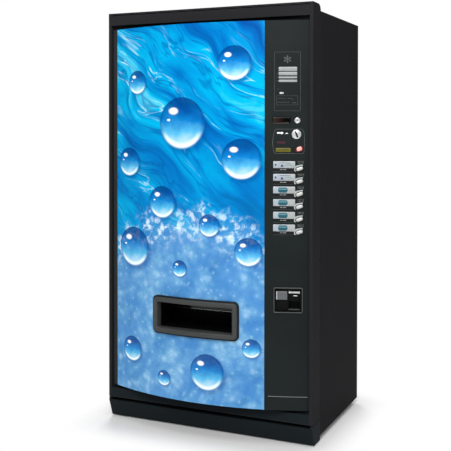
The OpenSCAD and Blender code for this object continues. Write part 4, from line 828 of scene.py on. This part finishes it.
def label_cards():
    """Cards under the label windows with plain motifs, a dark strip with dashes below and a dotted box beside."""
    looks = {"label_cards": "card_paper", "price_strips": "ink_dark", "price_dashes": "ink_silver",
             "price_rules": "ink_faint", "row_boxes": "ink_dark", "row_dots": "ink_silver",
             "card_navy": "ink_navy", "card_teal": "ink_teal", "card_lagoon": "ink_lagoon"}
    meshes = {name: bmesh.new() for name in looks}
    cards, strips, dashes, rules, boxes, dots, navy, teal, lagoon = meshes.values()
    top = LABEL_PROUD + FILM
    for row, height in enumerate(ROWS):
        to = on_plane(LABEL_X, height + LABEL_RISE)
        slab(cards, to, -43.5, 43.5, -12.6, 12.6, LABEL_PROUD - 0.5, top, radius=1.2, edge=0.2)
        if row < 2:
            patch(navy, to, block(-38, -31.5, -4.5, 3.5), top + FILM)
            patch(navy, to, [(-14, -9), (-3, -9), (-4.5, -1), (-12, 1)], top + FILM)
            stroke(navy, to, [(-20, 6), (-8, 8.5), (24, 6.5)], 1.6, top + FILM)
            stroke(lagoon, to, [(2, -3), (14, 1), (34, -4)], 3.0, top + FILM)
        else:
            barrel(teal, lagoon, to, -5, top)
        slab(strips, on_arc, 324, 405, height - 9.5, height + 1.5, 0, 0.6, radius=0.8, edge=0.2)
        for x0, x1 in ((353, 362), (364.5, 377)):
            stroke(dashes, on_arc, [(x0, height - 3.2), (x1, height - 3.2)], 2.6, OVER_FILM)
        stroke(rules, on_arc, [(324, height - 11.6), (404, height - 11.6)], 0.8, FILM)
        slab(boxes, on_arc, 419, 447, height + 20, height + 33, 0, 0.6, radius=1.0, edge=0.2)
        for step in range(10):
            x, z = 423 + step % 5 * 5, height + 23.5 + step // 5 * 5.5
            patch(dots, on_arc, block(x - 1, x + 1, z - 0.9, z + 0.9), OVER_FILM)
    for name, look in looks.items():
        slot = "label_plastic" if "card" in name else "column_plastic"
        piece_from(meshes[name], name, slot, look=look)


def label_windows():
    """Label holders: a flat window, and a pale band that sweeps round the button's left and top."""
    sweep = [(-17.0, -11.4), (-21.0, -9.6), (-22.6, -4.5), (-22.4, 2.0), (-20.6, 8.0), (-16.2, 12.2), (-8.6, 14.8),
             (1.2, 16.6), (9.6, 17.8), (14.0, 18.0)]
    start, swing, gap = 208, 173, 3.3
    half_w, half_h = (half + gap for half in BUTTON_HALF)
    angles = [math.radians(start - swing * step / (len(sweep) - 1)) for step in range(len(sweep))]
    ring = turned([(half_w * math.cos(a), half_h * math.sin(a)) for a in angles], BUTTON_TILT)
    bm = bmesh.new()
    for height in ROWS:
        slab(bm, on_plane(LABEL_X, height + LABEL_RISE), -45, 45, -14, 14, 0, LABEL_PROUD, radius=2.4, edge=0.8)
        ribbon(bm, on_plane(BUTTON_X, height), sweep, ring, 0, 2.4)
    piece_from(bm, "label_holders", "label_plastic", stands_for="label_windows")


def discs(sections):
    """Loops of a round turned face from (radius, lift) sections."""
    return [(radius, radius, radius, lift) for radius, lift in sections]


def lock_face():
    """Chrome lock with a raised rim, a turned face and a flat black patch that paints the shade of the key slit."""
    turned_face = ((11.9, 0), (11.9, 4.0), (11.2, 4.6), (10.1, 4.7), (9.9, 4.4), (9.8, 6.0), (9.2, 6.6), (8.0, 6.7),
                   (7.2, 6.4), (2.0, 6.2), (0.4, 6.15))
    lofted("lock_face", "bright_metal", AT_LOCK, discs(turned_face), "lock", look="chrome", corner=10)
    slit = rounded(1.0, 4.6, 0.9, corner=3)
    marks("lock_slit", "black_and_painted_shade", AT_LOCK, shapes=[slit], lift=6.75, slot="bright_metal", body="lock")


def coin_slot():
    """Chrome coin disc with a dished rim and a steep, flat black patch that paints the shade of the coin slot."""
    dished = ((19.3, 0), (19.3, 2.0), (18.7, 2.7), (17.6, 2.9), (16.8, 2.7), (16.4, 3.3), (15.6, 3.8), (0.4, 3.8))
    lofted("coin_disc", "bright_metal", AT_SLOT, discs(dished), sharp=40, look="chrome", corner=10)
    gap = turned(rounded(3.5, 14.8, 3.4, corner=4), SLOT_LEAN)
    marks("coin_gap", "black_and_painted_shade", AT_SLOT, shapes=[gap], lift=3.95, slot="bright_metal")


def display_lens():
    """Smoked display in a thin frame with a paler lower lip."""
    plate("display_lens", "smoked_plastic", "display_glass", AT_DISPLAY, (-35, 35, -10, 10, 1.5, 2.4), 1.6, 0.4)
    loops = [(37.5, 12.5, 3.0, 0), (37.5, 12.5, 3.0, 2.2), (37.0, 12.0, 2.8, 2.8), (35.8, 10.8, 2.0, 2.8),
             (35.2, 10.2, 1.8, 2.0)]
    lofted("display_frame", "column_plastic", AT_DISPLAY, loops, look="black_and_painted_shade", close=False, runs=6)
    plate("display_lip", "column_plastic", "lip_brown", AT_DISPLAY, (-36, 30, -16.5, -12.8, 0, 1.6), 1.0, 0.4)


def coin_cup():
    """Coin cup: a fine grey frame, a metal panel with a painted highlight along its left edge, a finger lip, and a
    flap on a bar painted plain white as a painted reflection of chrome.
    """
    to, flap, hinge = AT_CUP, "coin_cup_flap", (30, -18)
    loops = [(60, 52.5, 6.3, 0), (60, 52.5, 6.3, 3.0), (59.4, 51.9, 5.9, 3.7), (58, 50.5, 5, 3.9),
             (56.8, 49.3, 4, 3.6), (56.2, 48.7, 3.4, 3.1)]
    lofted("cup_frame", "black_plastic", to, loops, look="ink_steel", close=False, runs=8)
    plate("cup_panel", "bright_metal", "cup_metal", to, (-49.6, -4.0, 1.0, 36, -6.5, -4.8), 1.2, 0.5, sharp=50)
    # A pale strip along the panel's left edge is a painted highlight.
    plate("cup_panel_highlight", "bright_metal", "ink_pale", to, (-49.4, -45.2, 2.0, 35, -5, -3.6), 1.0, 0.5, sharp=50)
    plate("cup_lip", "black_plastic", "bezel_plastic", to, (1.5, 49, -43, -37.5, -11.9, -8), 2.4, 1.4, sharp=50)
    end, span = [(2.0, 2.6), (2.3, 4.3), (3.4, 5.3), (5.2, 5.5), (7.0, 5.2), (8.6, 4.4), (10.5, 4.1)], 50.5
    # The hinge bar is plain white ink, a painted reflection standing in for chrome.
    bm = bmesh.new()
    bar(bm, to, hinge, end + [(span - x, radius) for x, radius in reversed(end)])
    piece_from(bm, "cup_flap_bar", "bright_metal", flap, sharp=50, look="ink_white", stands_for=flap)
    plate("cup_flap_plate", "black_plastic", "black_and_painted_shade", to, (2.2, 48.3, -6, 28, -19.2, -16.8), 1.6, 0.6, sharp=50,
          body=flap)
    plate("cup_flap_tab", "bright_metal", "chrome", to, (20, 38.5, 13.8, 17.4, -17.2, -14.4), 1.7, 1.2, sharp=50,
          body=flap)


# Door sweep, screws and softened edges

def door_sweep():
    """A rubber strip on the kick plate that fills the gap below the door, with a cap at each end."""
    low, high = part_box("kick_plate")
    gap, inset, wide = 3 * MM, 2 * MM, 7
    mid_y, rise = (low.y + high.y) / 2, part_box("door_frame")[0].z - high.z - gap
    profile = ((-6, 0), (-4, 0.7), (-1.6, 1), (1.6, 1), (4, 0.7), (6, 0))
    bm = bmesh.new()
    ends = [[bm.verts.new((x, mid_y + y * MM, high.z + z * rise)) for y, z in profile]
            for x in (low.x + inset, high.x - inset)]
    skin(bm, ends)
    for end in ends:
        bm.faces.new(end)
    piece_from(bm, "door_sweep", "seal_rubber", "cabinet", sharp=60)
    bm = bmesh.new()
    to = flat_on((0, 0, high.z), RIGHT, BACK)
    for x in (low.x / MM, high.x / MM - wide):
        slab(bm, to, x, x + wide, low.y / MM, high.y / MM, 0, rise / MM, radius=1.2, edge=0.5)
    piece_from(bm, "sweep_caps", "rim_steel", "cabinet", sharp=50)


def screw(bm, to, radius, height):
    """A pan-head screw with a cross recess."""
    head = ((1, 0), (1, 0.35), (0.9, 0.75), (0.62, 1))
    loft(bm, to, (0, 0), discs([(radius * share, height * level) for share, level in head]), corner=5)
    recess = block(-radius * 0.5, radius * 0.5, -radius * 0.1, radius * 0.1)
    for turn in (0, math.pi / 2):
        patch(bm, to, turned(recess, turn), height + 0.02)


def screws():
    """Pan-head screws on the door's inside, the rear grille, the cabinet's top, the hinge and the rotor cradle."""
    cover, grille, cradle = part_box("door_back_cover")[1].y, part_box("rear_grille")[1].y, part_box("rotor_cradle")[0].y
    roof, hinge_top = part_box("cabinet_shell")[1].z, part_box("hinge_plates")[1].z
    sides = (-1, 1)
    inside = [(side * 420, 480 + 210 * step) for side in sides for step in range(7)]
    inside += [(side * 440, z) for side in sides for z in (140, 405)] + [(x, 140) for x in (-220, 0, 220)]
    vents = [(x, z) for x in (-361, -180, 0, 180, 361) for z in (84.5, 349.5)]
    lid = [(side * 470, y) for side in sides for y in (-60, 80, 220, 350)]
    lid += [(x, 372) for x in (-300, -100, 100, 300)]
    hinge = ((-467, -108), (-438, -108), (-452, -138))
    ends = [(side * 432, z) for side in sides for z in (652, 758)]
    door, cabinet = bmesh.new(), bmesh.new()
    for bm, face, places, radius, height in (
            (door, lambda x, z: flat_on((x, cover, z), -RIGHT, UP), inside, 4.4, 1.9),
            (cabinet, lambda x, z: flat_on((x, grille, z), -RIGHT, UP), vents, 3.4, 1.2),
            (cabinet, lambda x, y: flat_on((x, y, roof), RIGHT, BACK), lid, 4.4, 2.0),
            (cabinet, lambda x, y: flat_on((x, y, hinge_top), RIGHT, BACK), hinge, 5.2, 2.6),
            (cabinet, lambda x, z: flat_on((x, cradle, z), RIGHT, UP), ends, 5.2, 2.6)):
        for across, up in places:
            screw(bm, face(across * MM, up * MM), radius, height)
    piece_from(door, "door_screws", "zinc_steel", sharp=50)
    piece_from(cabinet, "cabinet_screws", "zinc_steel", "cabinet", sharp=50)


def soften(nodes, width):
    """Rounds the sharp edges of sheet-metal nodes by a width in mm."""
    for name in nodes:
        clean = NODES[name].modifiers.new("clean", "DECIMATE")
        clean.decimate_type = "DISSOLVE"
        clean.angle_limit = math.radians(0.4)
        edge = NODES[name].modifiers.new("edge", "BEVEL")
        edge.width = width * MM
        edge.segments = 2
        edge.limit_method = "ANGLE"
        edge.angle_limit = math.radians(40)
        edge.harden_normals = True


for build in (bezel, select_buttons, button_rings, return_button, instruction_panel, coin_panel, foot_line,
              label_cards, label_windows, lock_face, coin_slot, display_lens, coin_cup, door_sweep, flap_edge, screws):
    build()
soften(("cabinet_shell", "kick_plate", "door_frame", "top_cap", "bottom_apron", "rear_grille"), 0.7)


# Stage: pale floor, white surround, soft lamps and the camera

WHITE = (1, 1, 1, 1)
FLOOR_HALF = 30.0
FLOOR_GREY = (0.72, 0.72, 0.72, 1)
# Near the footprint the glow share drops to FLOOR_GLOW, so the floor shows its lit grey there: the machine's real
# shadow plus a painted grey shade band round the base.
FLOOR_GLOW = 0.05
PAINTED_SHADE_REACH = 0.2
FOOTPRINT = (0.45, 0.36, 0)
WORLD_LIGHT = 0.22

# Each lamp's place, aim and side in metres, and its power in watts
LAMPS = {"lamp_front": ((1.4, -4.2, 4.0), (0, 0, 0.9), 2.4, 235),
         "lamp_right": ((3.0, -1.2, 4.0), (0, 0, 1.4), 2.4, 20),
         "lamp_top": ((0.2, -0.6, 4.2), (0, 0, 0.9), 2.6, 60),
         "lamp_back": ((-2.2, 3.8, 2.8), (0, 0, 0.9), 2.4, 190)}

# Camera, solved from the photograph's vertical and horizontal edges; angles are in radians
CAMERA_AT = Vector((1.61126, -3.63509, 1.30882))
CAMERA_YAW = 0.425
CAMERA_PITCH = -0.015
CAMERA_ROLL = 0.001
CAMERA_LENS = 68.98
CAMERA_SENSOR = 36.0
CAMERA_SHIFT_Y = -0.1845


def seen_directly(tree):
    """1 for what the camera sees, also through clear parts, and 0 for all other light."""
    path = add(tree, "ShaderNodeLightPath").outputs
    return calc(tree, "MAXIMUM", path["Is Camera Ray"], path["Is Transmission Ray"])


def floor():
    """A wide pale floor that shows white to the camera away from the machine; near the footprint it keeps the
    machine's soft shadow and adds a painted grey shade band round the base.
    """
    mesh = bpy.data.meshes.new("floor")
    corners = block(-FLOOR_HALF, FLOOR_HALF, -FLOOR_HALF, FLOOR_HALF)
    mesh.from_pydata([(x, y, 0) for x, y in corners], [], [(0, 1, 2, 3)])
    tree, shader = new_material("floor")
    wire(tree, shader, {"Base Color": FLOOR_GREY, "Roughness": 0.9, "Specular IOR Level": 0.0})
    glow = add(tree, "ShaderNodeEmission", {"Color": WHITE, "Strength": 1.0}).outputs[0]
    beyond = vector(tree, "SUBTRACT", vector(tree, "ABSOLUTE", place(tree)), FOOTPRINT)
    away = length(tree, vector(tree, "MAXIMUM", beyond))
    share = times(tree, seen_directly(tree), fade(tree, away, 0.0, PAINTED_SHADE_REACH, FLOOR_GLOW, 1.0))
    mixer = add(tree, "ShaderNodeMixShader", {0: share, 1: shader.outputs[0], 2: glow})
    wire(tree, tree.nodes["Material Output"], {"Surface": mixer.outputs[0]})
    mesh.materials.append(MATERIALS["floor"])
    put("floor", mesh)


def surround():
    """A white surround for the eye, and a plain even light for the rest."""
    world = bpy.data.worlds.new("surround")
    bpy.context.scene.world = world
    world.use_nodes = True
    tree = world.node_tree
    strength = fade(tree, seen_directly(tree), 0, 1, WORLD_LIGHT, 1.0)
    wire(tree, tree.nodes["Background"], {"Color": WHITE, "Strength": strength})


def soft_lamp(name, at, aim, size, power):
    """A square area lamp that faces a point."""
    lamp = bpy.data.lights.new(name, "AREA")
    lamp.size = size
    lamp.energy = power
    piece = put(name, lamp)
    piece.location = at
    piece.rotation_euler = (Vector(aim) - Vector(at)).to_track_quat("-Z", "Y").to_euler()


def camera():
    """The photograph's view: turned to the left, nearly level, with the frame shifted down."""
    data = bpy.data.cameras.new("camera")
    data.sensor_width = CAMERA_SENSOR
    data.lens = CAMERA_LENS
    data.shift_y = CAMERA_SHIFT_Y
    upright = Matrix.Rotation(math.radians(90), 4, "X")
    aim = Matrix.Rotation(CAMERA_YAW, 4, "Z") @ Matrix.Rotation(CAMERA_PITCH, 4, "X") @ upright
    piece = put("camera", data)
    piece.matrix_world = Matrix.Translation(CAMERA_AT) @ aim @ Matrix.Rotation(CAMERA_ROLL, 4, "Z")
    bpy.context.scene.camera = piece


floor()
surround()
for name, lamp in LAMPS.items():
    soft_lamp(name, *lamp)
camera()
bpy.context.scene.view_settings.view_transform = "Standard"
